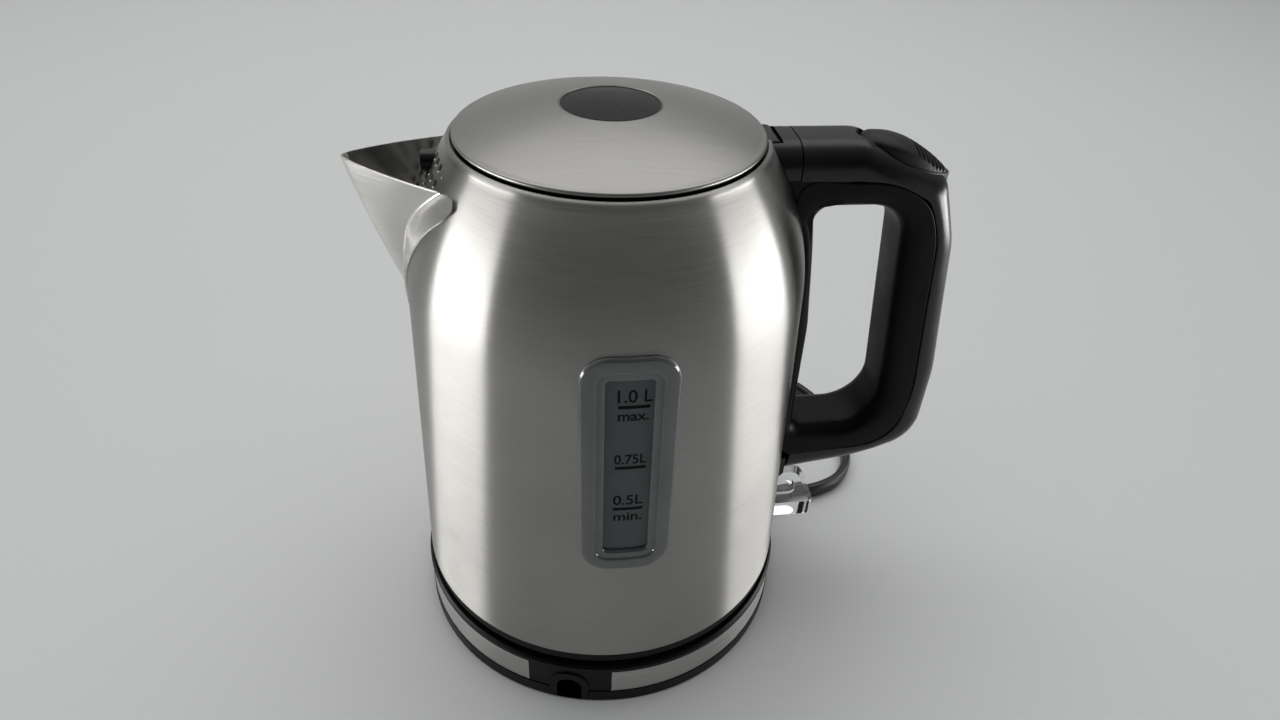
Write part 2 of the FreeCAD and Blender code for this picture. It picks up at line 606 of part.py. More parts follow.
def build_neck():
    """The hinge housing between the mouth and the handle, with two lugs for the lid's pin."""
    px, pz = LID_PIN
    block = front_plate([(-GRIP_HALF, 178.6, 0), (GRIP_HALF, 178.6, 0), (GRIP_HALF, ARM_TOP, GRIP_ROUND),
                         (-GRIP_HALF, ARM_TOP, GRIP_ROUND)], 50.0, 58.5)
    block = block.cut(vessel_solid(0.08, FOOT_Z, MOUTH_Z)).cut(ring(0, RIM_R + 0.6, 185, 195))
    lugs = [box(48.2, 54.0, side * 8.7 - 1.5, side * 8.7 + 1.5, 183.4, 189.2) for side in (-1, 1)]
    block = block.fuse(lugs).cut(box(45, 53.6, -7.2, 7.2, 183.2, 195))
    block = block.cut(rod(1.25, vec(px, -20, pz), vec(px, 20, pz)))
    block = block.cut(box(50, 60, -3.0, 3.0, 179.6, 183.4))
    return max(block.removeSplitter().Solids, key=lambda s: s.Volume)


def build_handle_screws():
    """Four screws from inside the vessel into the backbone."""
    screws = []
    for z in (66.0, 160.0):
        inside = wall_r(z) - WALL - 0.1
        for y in (-7.0, 7.0):
            start = math.sqrt(inside ** 2 - (abs(y) + 3.4) ** 2) - 0.3
            head = rod(3.4, vec(start - 1.8, y, z), vec(start, y, z))
            slot = box(start - 2.5, start - 1.2, y - 0.5, y + 0.5, z - 4, z + 4)
            screws.append(head.fuse(rod(1.6, vec(start, y, z), vec(69.0, y, z))).cut(slot))
    return screws


def build_button():
    """The oval thumb lever: a hollow crowned cap, ribbed on its rear slope, on a middle web."""
    px, pz = BUTTON_PIVOT
    web_front, web_rear = BUTTON_WEB
    crown = side_plate([(78.0, 185.6, 0), (79.8, 189.6, 3), (88.0, 191.4, 14), (112.6, 179.4, 2),
                        (111.6, 176.2, 0), (84.0, 184.9, 8)], -12, 12)
    under = side_plate([(70.0, 187.0, 0), (88.0, 188.8, 14), (114.0, 176.4, 0), (114.0, 160.0, 0),
                        (70.0, 160.0, 0)], -12, 12)
    cap = crown.common(button_oval(0, 150, 210)).cut(under.common(button_oval(-2.2, 150, 210)))
    ribs = []
    for i in range(RIB_COUNT):
        x = RIB_FIRST_X + RIB_PITCH * i
        z = 190.6 - (x - 91.0) * 0.495
        ribs.append(box(x - 0.35, x + 0.35, -5.6, 5.6, z - 0.3, z + 3))
    cap = cap.cut(ribs)
    web = box(web_front, web_rear, -2.5, 2.5, pz - ROD_REACH - 1.6, 186.6)
    cap = cap.fuse(web).removeSplitter()
    return cap.cut(rod(1.26, vec(px, -20, pz), vec(px, 20, pz)))


def build_release_rod():
    """The cranked bar that the button pushes forward to free the lid's catch."""
    low = BUTTON_PIVOT[1] - ROD_REACH - 1.2
    upper = box(57.6, 76.0, -2.4, 2.4, 180.2, 182.6)
    riser = box(73.6, 76.0, -2.4, 2.4, low, 182.6)
    lower = box(73.6, BUTTON_WEB[0] - 0.4, -2.4, 2.4, low, low + 2.2)
    return upper.fuse([riser, lower]).removeSplitter()


def coil_spring(radius, wire_r, turns, pitch, centre, axis_turn):
    """A wound spring along Y, with closed ends."""
    helix = Part.makeHelix(pitch, pitch * turns, radius)
    circle = Part.Wire([Part.makeCircle(wire_r, vec(radius, 0, 0), vec(0, 1, 0))])
    spring = Part.Wire(helix.Edges).makePipeShell([circle], True, True)
    spring.rotate(vec(0, 0, 0), X_AXIS, axis_turn)
    spring.translate(centre)
    return spring


# ---- lid -------------------------------------------------------------------------------

def lid_z(r, drop=0.0):
    """Height of the lid's dome at a distance from its centre."""
    rise = LID_TOP_Z - LID_LIP_Z - 1.0
    sphere = (rise ** 2 + LID_R ** 2) / (2 * rise)
    return LID_TOP_Z - drop - sphere + math.sqrt(sphere ** 2 - r ** 2)


def build_lid_cover():
    """The steel dome with a bright lip, recessed for the badge."""
    edge = LID_R - 0.9
    mid = edge / 2
    top = arc_xz((BADGE_R + 0.15, lid_z(BADGE_R + 0.15)), (mid, lid_z(mid)), (edge, lid_z(edge)))
    lip = arc_xz((edge, lid_z(edge)), (LID_R - 0.15, lid_z(edge) - 0.35), (LID_R, LID_LIP_Z + 0.3))
    low = LID_LIP_Z
    under = arc_xz((edge - 0.6, lid_z(edge) - 0.95), (mid, lid_z(mid, LID_SHEET)), (8.0, lid_z(8.0, LID_SHEET)))
    floor_z = lid_z(0) - 1.0
    edges = [top, lip] + polyline([(LID_R, LID_LIP_Z + 0.3), (LID_R - 0.2, low), (edge - 0.6, low),
                                   (edge - 0.6, lid_z(edge) - 0.95)])
    edges += [under] + polyline([(8.0, lid_z(8.0, LID_SHEET)), (8.0, floor_z),
                                 (BADGE_R + 0.15, floor_z), (BADGE_R + 0.15, lid_z(BADGE_R + 0.15))])
    return lathe(edges)


def build_lid_badge():
    """The plain black disc set flush in the middle of the dome."""
    top = arc_xz((0, lid_z(0) - 0.05), (BADGE_R / 2, lid_z(BADGE_R / 2) - 0.05), (BADGE_R, lid_z(BADGE_R) - 0.05))
    floor_z = lid_z(0) - 0.98
    stem = lid_z(0) - 3.4
    edges = [top] + polyline([(BADGE_R, lid_z(BADGE_R) - 0.05), (BADGE_R, floor_z), (7.8, floor_z),
                              (7.8, stem), (0, stem), (0, lid_z(0) - 0.05)])
    return lathe(edges)


def build_lid_inner():
    """The lid's lower tray, with its skirt in the mouth and two arms to the hinge pin."""
    px, pz = LID_PIN
    tray = turned(((0, 189.4), (44.6, 189.4), (44.6, 184.8), (45.8, 184.8), (45.8, 190.6), (0, 190.6)))
    arms = []
    for side in (-1, 1):
        y0, y1 = sorted((side * 4.2, side * 6.8))
        arms.append(box(42.0, px, y0, y1, pz - 1.6, pz + 1.6))
        arms.append(rod(2.4, vec(px, y0, pz), vec(px, y1, pz)))
    lid = tray.fuse(arms).removeSplitter()
    return lid.cut(rod(1.26, vec(px, -20, pz), vec(px, 20, pz)))


def build_lid_seal():
    """A soft ring around the tray's skirt."""
    seal = turned(((45.85, 186.4), (46.3, 186.8), (46.3, 187.4), (45.85, 187.8)))
    return seal.cut(box(30, 60, -22, 22, 180, 200))


# ---- power base ------------------------------------------------------------------------

def notch_shape(half, top, r0, r1):
    """An arched opening through the base's wall, along +X before it is turned."""
    wire = rounded_wire([(-half, -1, 0), (half, -1, 0), (half, top, half * 0.98), (-half, top, half * 0.98)],
                        lambda p: vec(r0, p.x, p.y))
    return Part.Face(wire).extrude(vec(r1 - r0, 0, 0))


def wedge(half_angle, r, z0, z1):
    """A pie slice about +X."""
    return Part.makeCylinder(r, z1 - z0, vec(0, 0, z0), Z_AXIS, 2 * half_angle)


def notch_sectors(r, z0, z1):
    """The slices of the base's wall around each notch."""
    sectors = []
    for angle in NOTCH_ANGLES:
        sectors.append(turn_about_z(wedge(NOTCH_HALF_ANGLE, r, z0, z1), angle - NOTCH_HALF_ANGLE))
    return sectors


def build_base_cover():
    """The black top of the base: deck, lip and wall, with the arched cord notches."""
    wall_out = BASE_R - 0.95
    outline = ((16.0, DECK_Z - 2.0), (wall_out - 2.2, DECK_Z - 2.0), (wall_out - 2.2, 2.2),
               (wall_out, 2.2), (wall_out, BAND_HIGH), (BASE_R - 0.3, BAND_HIGH),
               (BASE_R, BAND_HIGH + 0.4), (BASE_R, BASE_TOP - 0.8), (BASE_R - 0.8, BASE_TOP),
               (66.6, BASE_TOP), (65.4, DECK_Z), (16.0, DECK_Z))
    cover = turned(outline)
    blocks = ring(wall_out - 0.5, BASE_R - 0.25, BAND_LOW + 0.1, BAND_HIGH)
    cover = cover.fuse([blocks.common(s) for s in notch_sectors(80, 0, 30)])
    arches = [turn_about_z(notch_shape(7.0, 15.6, BASE_R - 4.0, BASE_R + 0.35), a) for a in NOTCH_ANGLES]
    arches = [a.common(ring(0, BASE_R + 0.3, 2.2, 30)) for a in arches]
    cover = cover.fuse(arches).removeSplitter()
    openings = [turn_about_z(notch_shape(4.6, 12.4, 55, 80), a) for a in NOTCH_ANGLES]
    deck_hole = Part.makeCylinder(16.0, 6, vec(0, 0, DECK_Z - 4))
    return cover.cut(openings).cut(deck_hole)


def build_base_band():
    """Three curved strips of brushed steel between the notches."""
    band = ring(BASE_R - 0.9, BASE_R - 0.25, BAND_LOW, BAND_HIGH - 0.1)
    sectors = []
    for angle in NOTCH_ANGLES:
        slice_ = wedge(NOTCH_HALF_ANGLE + 0.15, 80, 0, 30)
        sectors.append(turn_about_z(slice_, angle - NOTCH_HALF_ANGLE - 0.15))
    return band.cut(sectors)


def build_base_bottom():
    """The base's bottom plate, which is the face that stands on the table."""
    outline = ((0, 0), (BASE_R - 0.7, 0), (BASE_R, 0.7), (BASE_R, BAND_LOW - 0.3), (BASE_R - 0.85, BAND_LOW - 0.3),
               (BASE_R - 0.85, 2.0), (0, 2.0))
    plate = turned(outline)
    notches = [turn_about_z(notch_shape(4.6, 12.4, 55, 80), a) for a in NOTCH_ANGLES]
    low_notches = [n.common(box(-90, 90, -90, 90, 0.8, 20)) for n in notches]
    frames = [turn_about_z(notch_shape(7.2, 16, BASE_R - 4.2, BASE_R + 2), a).common(
        box(-90, 90, -90, 90, 2.1, 20)) for a in NOTCH_ANGLES]
    pockets = [turn_about_z(Part.makeCylinder(7.2, 1.2, vec(56, 0, -0.01)), a) for a in FOOT_ANGLES]
    screw_holes = [turn_about_z(Part.makeCylinder(1.7, 4, vec(40, 0, -1)), a) for a in SCREW_ANGLES]
    sinks = [turn_about_z(Part.makeCylinder(3.4, 1.2, vec(40, 0, -0.01)), a) for a in SCREW_ANGLES]
    return plate.cut(low_notches + frames + pockets + screw_holes + sinks)


FOOT_ANGLES = (75.0, 195.0, 315.0)
SCREW_ANGLES = (45.0, 165.0, 285.0)


def build_base_feet():
    """Rubber pads in the bottom plate's pockets."""
    return [turn_about_z(Part.makeCylinder(7.0, 1.1, vec(56, 0, 0)), a) for a in FOOT_ANGLES]


def build_base_screws():
    """Screws that hold the bottom plate to posts under the deck."""
    screws = []
    for angle in SCREW_ANGLES:
        head = Part.makeCylinder(3.2, 0.9, vec(40, 0, 0.25))
        shank = Part.makeCylinder(1.5, 10.0, vec(40, 0, 1.1))
        cross = box(38.4, 41.6, -0.4, 0.4, 0, 0.8).fuse(box(39.6, 40.4, -1.6, 1.6, 0, 0.8))
        screws.append(turn_about_z(head.fuse(shank).cut(cross), angle))
    return screws


def build_screw_posts():
    """Hollow posts between the deck and the bottom plate."""
    posts = []
    for angle in SCREW_ANGLES:
        post = Part.makeCylinder(3.6, DECK_Z - 4.2, vec(40, 0, 2.1))
        post = post.cut(Part.makeCylinder(1.6, 11, vec(40, 0, 1.0)))
        posts.append(turn_about_z(post, angle))
    return posts


def build_connector_hub():
    """The round male half of the connector in the middle of the base."""
    return turned(((0, 12.0), (19.0, 12.0), (19.0, 15.8), (15.8, 15.8), (15.8, 18.4), (HUB_R, 19.0),
                   (HUB_R, HUB_TOP - 1.2), (HUB_R - 1.2, HUB_TOP), (11.0, HUB_TOP), (11.0, 22.0), (5.6, 22.0),
                   (5.6, HUB_TOP - 1.0), (2.2, HUB_TOP - 1.0), (2.2, 20.0), (0, 20.0)))


def build_hub_contacts():
    """Brass parts of the hub: the centre socket and two spring rings."""
    centre = ring(1.6, 2.1, 20.1, 31.0)
    inner = ring(5.7, 6.6, 22.1, 29.0)
    outer = ring(10.0, 10.9, 22.1, 29.0)
    return [centre, inner, outer]


def build_cord_clamp():
    """The saddle that grips the cord inside the base, with its two screws."""
    saddle = box(46.0, 54.0, -9.0, 9.0, 2.1, 9.4).cut(rod(3.6, vec(40, 0, 5.4), vec(60, 0, 5.4)))
    heads = [Part.makeCylinder(2.2, 1.4, vec(50, y, 9.5)) for y in (-6.6, 6.6)]
    return [turn_about_z(s, CORD_ANGLE) for s in [saddle] + heads]


def build_inner_lead():
    """The cord's last stretch inside the base, from the notch through the clamp."""
    lead = rod(3.4, vec(34.0, 0, 5.4), vec(65.0, 0, 5.4))
    return turn_about_z(lead, CORD_ANGLE)


def build_strain_relief():
    """The ribbed, tapered sleeve where the cord leaves the base."""
    z0, r0, r1 = 5.4, 4.4, 3.9
    root = rod(4.3, vec(65.2, 0, z0), vec(72.0, 0, z0))
    length = CORD_EXIT_R - 72.0
    sleeve = Part.makeCone(r0, r1, length, vec(72.0, 0, z0), vec(length, 0, CORD_Z - z0))
    grooves = []
    for i in range(4):
        x = 75.0 + 4.0 * i
        groove = Part.makeTorus(r0 + 0.35, 0.8, vec(x, 0, z0 - (x - 72.0) * (z0 - CORD_Z) / length), X_AXIS)
        grooves.append(groove)
    relief = root.fuse(sleeve).cut(grooves).removeSplitter()
    return turn_about_z(relief, CORD_ANGLE)


# ---- cord ------------------------------------------------------------------------------

def smooth_path(points):
    """Straight runs joined by tangent arcs, each as large as the two runs at it allow."""
    corners = [vec(*p) for p in points]
    edges, radii = [], []
    cursor = corners[0]
    for before, here, after in zip(corners, corners[1:], corners[2:]):
        back, ahead = before - here, after - here
        turn = math.pi - back.getAngle(ahead)
        cut = 0.45 * min(back.Length, ahead.Length)
        radius = cut / math.tan(turn / 2)
        radii.append(round(radius, 1))
        start = here + back.normalize() * cut
        end = here + ahead.normalize() * cut
        toward = (back + ahead).normalize()
        middle = here + toward * (radius / math.cos(turn / 2) - radius)
        edges += [Part.makeLine(cursor, start), Part.Arc(start, middle, end).toShape()]
        cursor = end
    edges.append(Part.makeLine(cursor, corners[-1]))
    return Part.Wire(edges), radii


def cord_tube(name, points):
    """A plain round tube along a route, with its length and radii printed."""
    path, radii = smooth_path(points)
    first = path.Edges[0]
    circle = Part.Wire([Part.makeCircle(CORD_D / 2, first.Vertexes[0].Point, first.tangentAt(first.FirstParameter))])
    tube = path.makePipeShell([circle], True, True)
    expected = math.pi * (CORD_D / 2) ** 2 * path.Length
    print(name, "length", round(path.Length, 1), "radii", radii, "volume ratio", round(tube.Volume / expected, 4))
    return tube, path.Length


def build_cord_coil():
    """The outer shape of the wound cord: two layers of turns."""
    coil = ring(COIL_R - CORD_D / 2, COIL_R + CORD_D / 2, 0.1, 0.1 + 2 * CORD_D)
    coil.translate(vec(COIL_CENTRE[0], COIL_CENTRE[1], 0))
    return coil


def build_coil_tie():
    """A twist tie around the coil's near side."""
    width, wall = 6.0, 0.9
    half = CORD_D / 2 + 0.1
    outer = box(-width / 2, width / 2, -half - wall, half + wall, 0.0, 2 * CORD_D + 0.2 + wall)
    inner = box(-width, width, -half, half, 0.05, 2 * CORD_D + 0.2)
    tie = outer.cut(inner)
    tie.translate(vec(COIL_CENTRE[0], COIL_CENTRE[1] - COIL_R, 0))
    return tie


def plug_frame(shape):
    """Move a plug piece from along +X at the origin to where the plug lies."""
    placed = shape.copy()
    placed.rotate(vec(0, 0, 0), Z_AXIS, PLUG_HEADING)
    placed.translate(vec(TAIL_ROUTE[-1][0], TAIL_ROUTE[-1][1], PLUG_Z))
    return placed


def build_plug_body():
    """The moulded plug: a tapered neck and a rounded grip."""
    neck = Part.makeCone(3.9, 6.2, 15.0, vec(0, 0, 0), X_AXIS)
    grip = box(14.0, 44.0, -12.2, 12.2, -11.4, 11.4)
    edges = [e for e in grip.Edges if abs(e.Vertexes[0].Point.x - e.Vertexes[-1].Point.x) > 1]
    grip = grip.makeFillet(5.0, edges)
    face_ring = box(44.0, 47.0, -13.2, 13.2, -11.5, 11.5)
    ring_edges = [e for e in face_ring.Edges if abs(e.Vertexes[0].Point.x - e.Vertexes[-1].Point.x) > 1]
    face_ring = face_ring.makeFillet(5.0, ring_edges)
    return plug_frame(neck.fuse([grip, face_ring]).removeSplitter())


def build_plug_blades():
    """Two flat blades and a round earth pin."""
    blades = [box(47.05, 63.5, side * 6.35 - 0.75, side * 6.35 + 0.75, -4.6, 1.8) for side in (-1, 1)]
    earth = rod(2.4, vec(47.05, 0, 6.4), vec(66.0, 0, 6.4))
    return [plug_frame(b) for b in blades + [earth]]


# ---- write every node ------------------------------------------------------------------

def main():
    os.makedirs("parts", exist_ok=True)
    px, pz = LID_PIN
    bx, bz = BUTTON_PIVOT
    sx, sz = SWITCH_PIVOT
    save("body_shell", build_body_shell())
    save("spout", build_spout())
    save("mouth_ring", build_mouth_ring())
    save("sight_window", build_sight_window())
    save("window_gasket", build_window_gasket())
    save("window_clamp", build_window_clamp())
    save("filter_frame", build_filter_frame())
    save("filter_mesh", build_filter_mesh())
    save("heater_plate", build_heater_plate())
    save("heat_spreader", build_heat_spreader())
    save("heating_element", build_heating_element())
    save("steam_tube", build_steam_tube())
    save("underside_cover", build_underside_cover())
    save("socket_unit", build_socket_unit())
    save("socket_contacts", *build_socket_contacts())
    save("socket_collar", build_socket_collar())
    save("control_unit", build_control_unit())
    save("switch_housing", build_switch_housing())
    save("bimetal_disc", build_bimetal_disc())
    save("switch_bezel", build_switch_bezel())
    save("switch_lever", build_switch_lever())
    save("switch_pin", rod(1.5, vec(sx, -14.8, sz), vec(sx, 14.8, sz)))
    cover, grip = build_handle()
    save("handle_cover", cover)
    save("handle_grip", grip)
    save("handle_backbone", build_backbone())
    save("handle_neck", build_neck())
    save("handle_screws", *build_handle_screws())
    save("lid_button", build_button())
    save("button_pin", rod(1.2, vec(bx, -5.2, bz), vec(bx, 5.2, bz)))
    save("release_rod", build_release_rod())
    save("lid_cover", build_lid_cover())
    save("lid_badge", build_lid_badge())
    save("lid_inner", build_lid_inner())
    save("lid_seal", build_lid_seal())
    save("lid_pin", rod(1.2, vec(px, -10.0, pz), vec(px, 10.0, pz)))
    save("lid_spring", coil_spring(1.85, 0.3, 6, 1.05, vec(px, 3.3, pz), 90))
    save("base_cover", build_base_cover())
    save("base_band", *build_base_band().Solids)
    save("base_bottom", build_base_bottom())
    save("base_feet", *build_base_feet())
    save("base_screws", *build_base_screws())
    save("screw_posts", *build_screw_posts())
    save("connector_hub", build_connector_hub())
    save("hub_contacts", *build_hub_contacts())
    save("cord_clamp", *build_cord_clamp())
    save("inner_lead", build_inner_lead())
    save("strain_relief", build_strain_relief())
    run, run_length = cord_tube("cord", CORD_ROUTE)
    save("cord", run)
    save("cord_coil", build_cord_coil())
    tail, tail_length = cord_tube("cord_tail", TAIL_ROUTE)
    save("cord_tail", tail)
    save("coil_tie", build_coil_tie())
    save("plug_body", build_plug_body())
    save("plug_blades", *build_plug_blades())
    coil_length = 2 * math.pi * COIL_R * COIL_TURNS
    print("cord length", round(run_length + coil_length + tail_length, 1), "mm")


main()
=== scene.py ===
# %% [markdown]
# # A cordless kettle on its power base
#
# The kettle is a brushed-steel vessel on a black base. Three things make it look real: the long
# streaks that brushing gives a reflection, the thin dark gaps between the steel and the black
# plastic, and the small folded and moulded details. The vessel, the lid and the bands are turned
# shapes, the spout is folded sheet and the handle is a section carried along a D. Each one is
# worked out here as a grid of points from two parameters.
#
# All sizes in this file are in millimetres until `mesh_object` turns them into metres.

# %% Load the frame
import json
import math

import bmesh
import bpy
import numpy as np
from mathutils import Matrix, Vector

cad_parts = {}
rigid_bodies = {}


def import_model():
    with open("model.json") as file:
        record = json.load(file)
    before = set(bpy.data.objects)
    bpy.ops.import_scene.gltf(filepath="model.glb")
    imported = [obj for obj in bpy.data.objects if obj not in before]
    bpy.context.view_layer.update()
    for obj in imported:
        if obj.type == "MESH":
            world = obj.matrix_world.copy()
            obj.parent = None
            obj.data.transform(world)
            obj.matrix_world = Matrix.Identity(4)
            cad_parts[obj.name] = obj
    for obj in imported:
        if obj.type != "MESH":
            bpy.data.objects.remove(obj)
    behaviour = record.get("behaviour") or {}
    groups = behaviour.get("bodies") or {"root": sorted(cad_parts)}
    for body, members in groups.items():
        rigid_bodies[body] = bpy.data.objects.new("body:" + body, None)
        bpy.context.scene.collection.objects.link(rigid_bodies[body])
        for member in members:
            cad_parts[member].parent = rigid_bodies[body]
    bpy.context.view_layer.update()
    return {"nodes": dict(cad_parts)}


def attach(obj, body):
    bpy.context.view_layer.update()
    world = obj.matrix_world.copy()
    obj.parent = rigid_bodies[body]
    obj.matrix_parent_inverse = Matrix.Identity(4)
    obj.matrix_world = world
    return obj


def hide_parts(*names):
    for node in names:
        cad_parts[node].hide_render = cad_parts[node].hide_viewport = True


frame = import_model()
nodes = frame["nodes"]
MM = 0.001

# %% [markdown]
# ## Camera
#
# The camera looks down at the kettle from in front, a little to the left. Its lens is short,
# so the vessel tapers towards the table. The camera is built from three directions: the way it
# looks, and its right and up sides after a small roll.

# %% Camera
CAMERA_PLACE = (-26.893, -249.675, 287.172)
CAMERA_DOWN_DEG = 36.02
CAMERA_HEADING_DEG = 9.0
CAMERA_ROLL_DEG = -2.812
CAMERA_LENS = 23.906


def camera_matrix():
    """Columns are the camera's right, up and backward directions, then its place."""
    angles = (CAMERA_DOWN_DEG, CAMERA_HEADING_DEG, CAMERA_ROLL_DEG)
    down, heading, roll = (math.radians(degrees) for degrees in angles)
    ahead = Vector((math.sin(heading) * math.cos(down), math.cos(heading) * math.cos(down), -math.sin(down)))
    level = Vector((math.cos(heading), -math.sin(heading), 0.0))
    below = ahead.cross(level)
    right = math.cos(roll) * level + math.sin(roll) * below
    up = -(math.cos(roll) * below - math.sin(roll) * level)
    turn = Matrix((right, up, -ahead)).transposed().to_4x4()
    return Matrix.Translation(Vector(CAMERA_PLACE) * MM) @ turn


camera_data = bpy.data.cameras.new("camera")
camera_data.lens = CAMERA_LENS
camera_data.sensor_width = 36.0
camera_data.clip_start = 0.01
camera = bpy.data.objects.new("camera", camera_data)
camera.matrix_world = camera_matrix()
bpy.context.scene.collection.objects.link(camera)
bpy.context.scene.camera = camera
print("camera at", tuple(round(v, 4) for v in camera.location))

# %% [markdown]
# ## Helpers for surfaces
#
# A grid of points with `rows` along one parameter and `columns` along the other becomes quads.
# Where a direction closes on itself the last row joins the first. Ends can be closed with one
# flat face. The mesh is smooth except where two faces meet at more than a given angle.

# %% Grid surfaces
SHARP_DEG = 32.0
JOIN_M, FLAT_M = 2e-6, 1e-7


def quads(rows, columns, wrap_rows, wrap_columns):
    """Corner numbers of every quad of a grid, counted row by row."""
    r = np.arange(rows if wrap_rows else rows - 1)
    c = np.arange(columns if wrap_columns else columns - 1)
    r, c = np.meshgrid(r, c, indexing="ij")
    r2, c2 = (r + 1) % rows, (c + 1) % columns
    corners = (r * columns + c, r * columns + c2, r2 * columns + c2, r2 * columns + c)
    return np.stack(corners, -1).reshape(-1, 4)


def shade(mesh, sharp=SHARP_DEG):
    """Shade smooth, except where two faces meet at more than the sharp angle."""
    mesh.shade_smooth()
    mesh.set_sharp_from_angle(angle=math.radians(sharp))


def close_mesh(mesh, sharp=SHARP_DEG):
    """Join doubled points, drop faces with no area, turn the rest outward, and shade them."""
    work = bmesh.new()
    work.from_mesh(mesh)
    bmesh.ops.remove_doubles(work, verts=work.verts, dist=JOIN_M)
    bmesh.ops.dissolve_degenerate(work, edges=work.edges, dist=FLAT_M)
    bmesh.ops.recalc_face_normals(work, faces=work.faces)
    work.to_mesh(mesh)
    work.free()
    shade(mesh, sharp)


def mesh_object(name, points, faces, sharp=SHARP_DEG):
    """An object from points in millimetres and lists of corner numbers."""
    mesh = bpy.data.meshes.new(name)
    mesh.from_pydata((np.asarray(points, float).reshape(-1, 3) * MM).tolist(), [], [list(f) for f in faces])
    thing = bpy.data.objects.new(name, mesh)
    bpy.context.scene.collection.objects.link(thing)
    close_mesh(mesh, sharp)
    return thing


def grid_object(name, grid, wrap_rows=False, wrap_columns=False, cap_rows=False, sharp=SHARP_DEG):
    """An object from a (rows, columns, 3) grid. cap_rows closes the first and last row."""
    rows, columns = grid.shape[:2]
    faces = quads(rows, columns, wrap_rows, wrap_columns).tolist()
    if cap_rows:
        faces.append(list(range(columns)))
        faces.append(list(range((rows - 1) * columns, rows * columns)))
    return mesh_object(name, grid, faces, sharp)


def lathe(name, profile, segments=256, sharp=SHARP_DEG):
    """A closed (r, z) outline turned about Z: x = r cos a, y = r sin a."""
    profile = np.asarray(profile, float)
    angle = np.linspace(0, 2 * np.pi, segments, endpoint=False)[:, None]
    r, z = profile[None, :, 0], profile[None, :, 1]
    grid = np.stack([r * np.cos(angle), r * np.sin(angle), np.broadcast_to(z, (segments, len(profile)))], -1)
    return grid_object(name, grid, wrap_rows=True, wrap_columns=True, sharp=sharp)


print("quads of a closed 3 by 4 grid:", len(quads(3, 4, True, True)))

# %% [markdown]
# ## Outlines with rounded corners
#
# Nearly every moulded part starts as a flat outline: straight runs joined by arcs that touch
# them. Each corner is given with its radius. The arc touches both runs at radius / tan(half the
# corner's angle) from the corner.

# %% Rounded outlines
def rounded(corners, closed=True, per_arc=10):
    """Points along an outline of (u, v, radius) corners, with per_arc points on each arc."""
    corners = np.asarray(corners, float)
    count, points = len(corners), []
    for i, (u, v, radius) in enumerate(corners):
        here = np.array([u, v])
        at_end = not closed and i in (0, count - 1)
        if radius <= 0 or at_end:
            points.append(here[None])
            continue
        back = corners[i - 1, :2] - here
        ahead = corners[(i + 1) % count, :2] - here
        back, ahead = back / np.linalg.norm(back), ahead / np.linalg.norm(ahead)
        half = math.acos(np.clip(back @ ahead, -1, 1)) / 2
        middle = here + (back + ahead) / np.linalg.norm(back + ahead) * radius / math.sin(half)
        start, end = here + back * radius / math.tan(half), here + ahead * radius / math.tan(half)
        a0, a1 = (math.atan2(*(p - middle)[::-1]) for p in (start, end))
        sweep = (a1 - a0 + math.pi) % (2 * math.pi) - math.pi
        angle = a0 + np.linspace(0, 1, per_arc) * sweep
        points.append(middle + radius * np.stack([np.cos(angle), np.sin(angle)], -1))
    return np.concatenate(points)


def resample(points, count, closed=False):
    """The same line with count points, evenly spaced along it."""
    line = np.vstack([points, points[:1]]) if closed else points
    steps = np.r_[0, np.cumsum(np.linalg.norm(np.diff(line, axis=0), axis=1))]
    at = np.linspace(0, steps[-1], count, endpoint=not closed)
    return np.stack([np.interp(at, steps, line[:, k]) for k in range(line.shape[1])], -1)


def outward(points, closed=True):
    """Unit normals of a flat outline, pointing right of its direction of travel."""
    if closed:
        along = np.roll(points, -1, 0) - np.roll(points, 1, 0)
    else:
        along = np.gradient(points, axis=0)
    along /= np.linalg.norm(along, axis=1, keepdims=True)
    return np.stack([along[:, 1], -along[:, 0]], -1)


def rectangle(half, low, high, corner):
    """Corners of an upright rounded rectangle, going round anticlockwise."""
    return [(-half, low, corner), (half, low, corner), (half, high, corner), (-half, high, corner)]


def bent(start, bend, end, steps=8):
    """Points of a quadratic curve: (1-a)(1-a) start + 2a(1-a) bend + a a end, without its start."""
    a = np.linspace(0, 1, steps + 1)[1:, None]
    return (1 - a) ** 2 * np.array(start) + 2 * a * (1 - a) * np.array(bend) + a ** 2 * np.array(end)


print("points round a rectangle with rounded corners:", len(rounded(rectangle(10.0, 0.0, 30.0, 3.0))))

# %% [markdown]
# ## The curve of the vessel
#
# From the side the steel is a slightly leaning straight line that runs into one big arc. The
# same two rules place everything that lies on the steel, such as the window and the spout's
# flange, so they are written once as a function of height.

# %% Vessel curve
FOOT_R, FOOT_Z = 70.0, 26.0
CONE_R, CONE_Z = 65.86, 142.0
SHOULDER_R = 86.0
MOUTH_Z = 188.6
SHEET = 0.6
slope = (FOOT_R - CONE_R) / (CONE_Z - FOOT_Z)
ARC_X = CONE_R - SHOULDER_R * math.cos(math.atan(slope))
ARC_Z = CONE_Z - SHOULDER_R * math.sin(math.atan(slope))


def wall_r(z):
    """Outer radius at height z: the leaning line up to CONE_Z, the shoulder's arc above it."""
    z = np.asarray(z, float)
    arc = ARC_X + np.sqrt(np.maximum(SHOULDER_R ** 2 - (z - ARC_Z) ** 2, 0))
    return np.where(z <= CONE_Z, FOOT_R - slope * (z - FOOT_Z), arc)


def on_front(x, z, lift=0.0):
    """The point of the wall's front (-Y) side at x and z, lifted off the steel."""
    r = wall_r(z) + lift
    return np.stack([x, -np.sqrt(np.maximum(r ** 2 - x ** 2, 0)), z], -1)


print("wall radius at the foot, the cone's end and the mouth:", wall_r([FOOT_Z, CONE_Z, MOUTH_Z]).round(2))

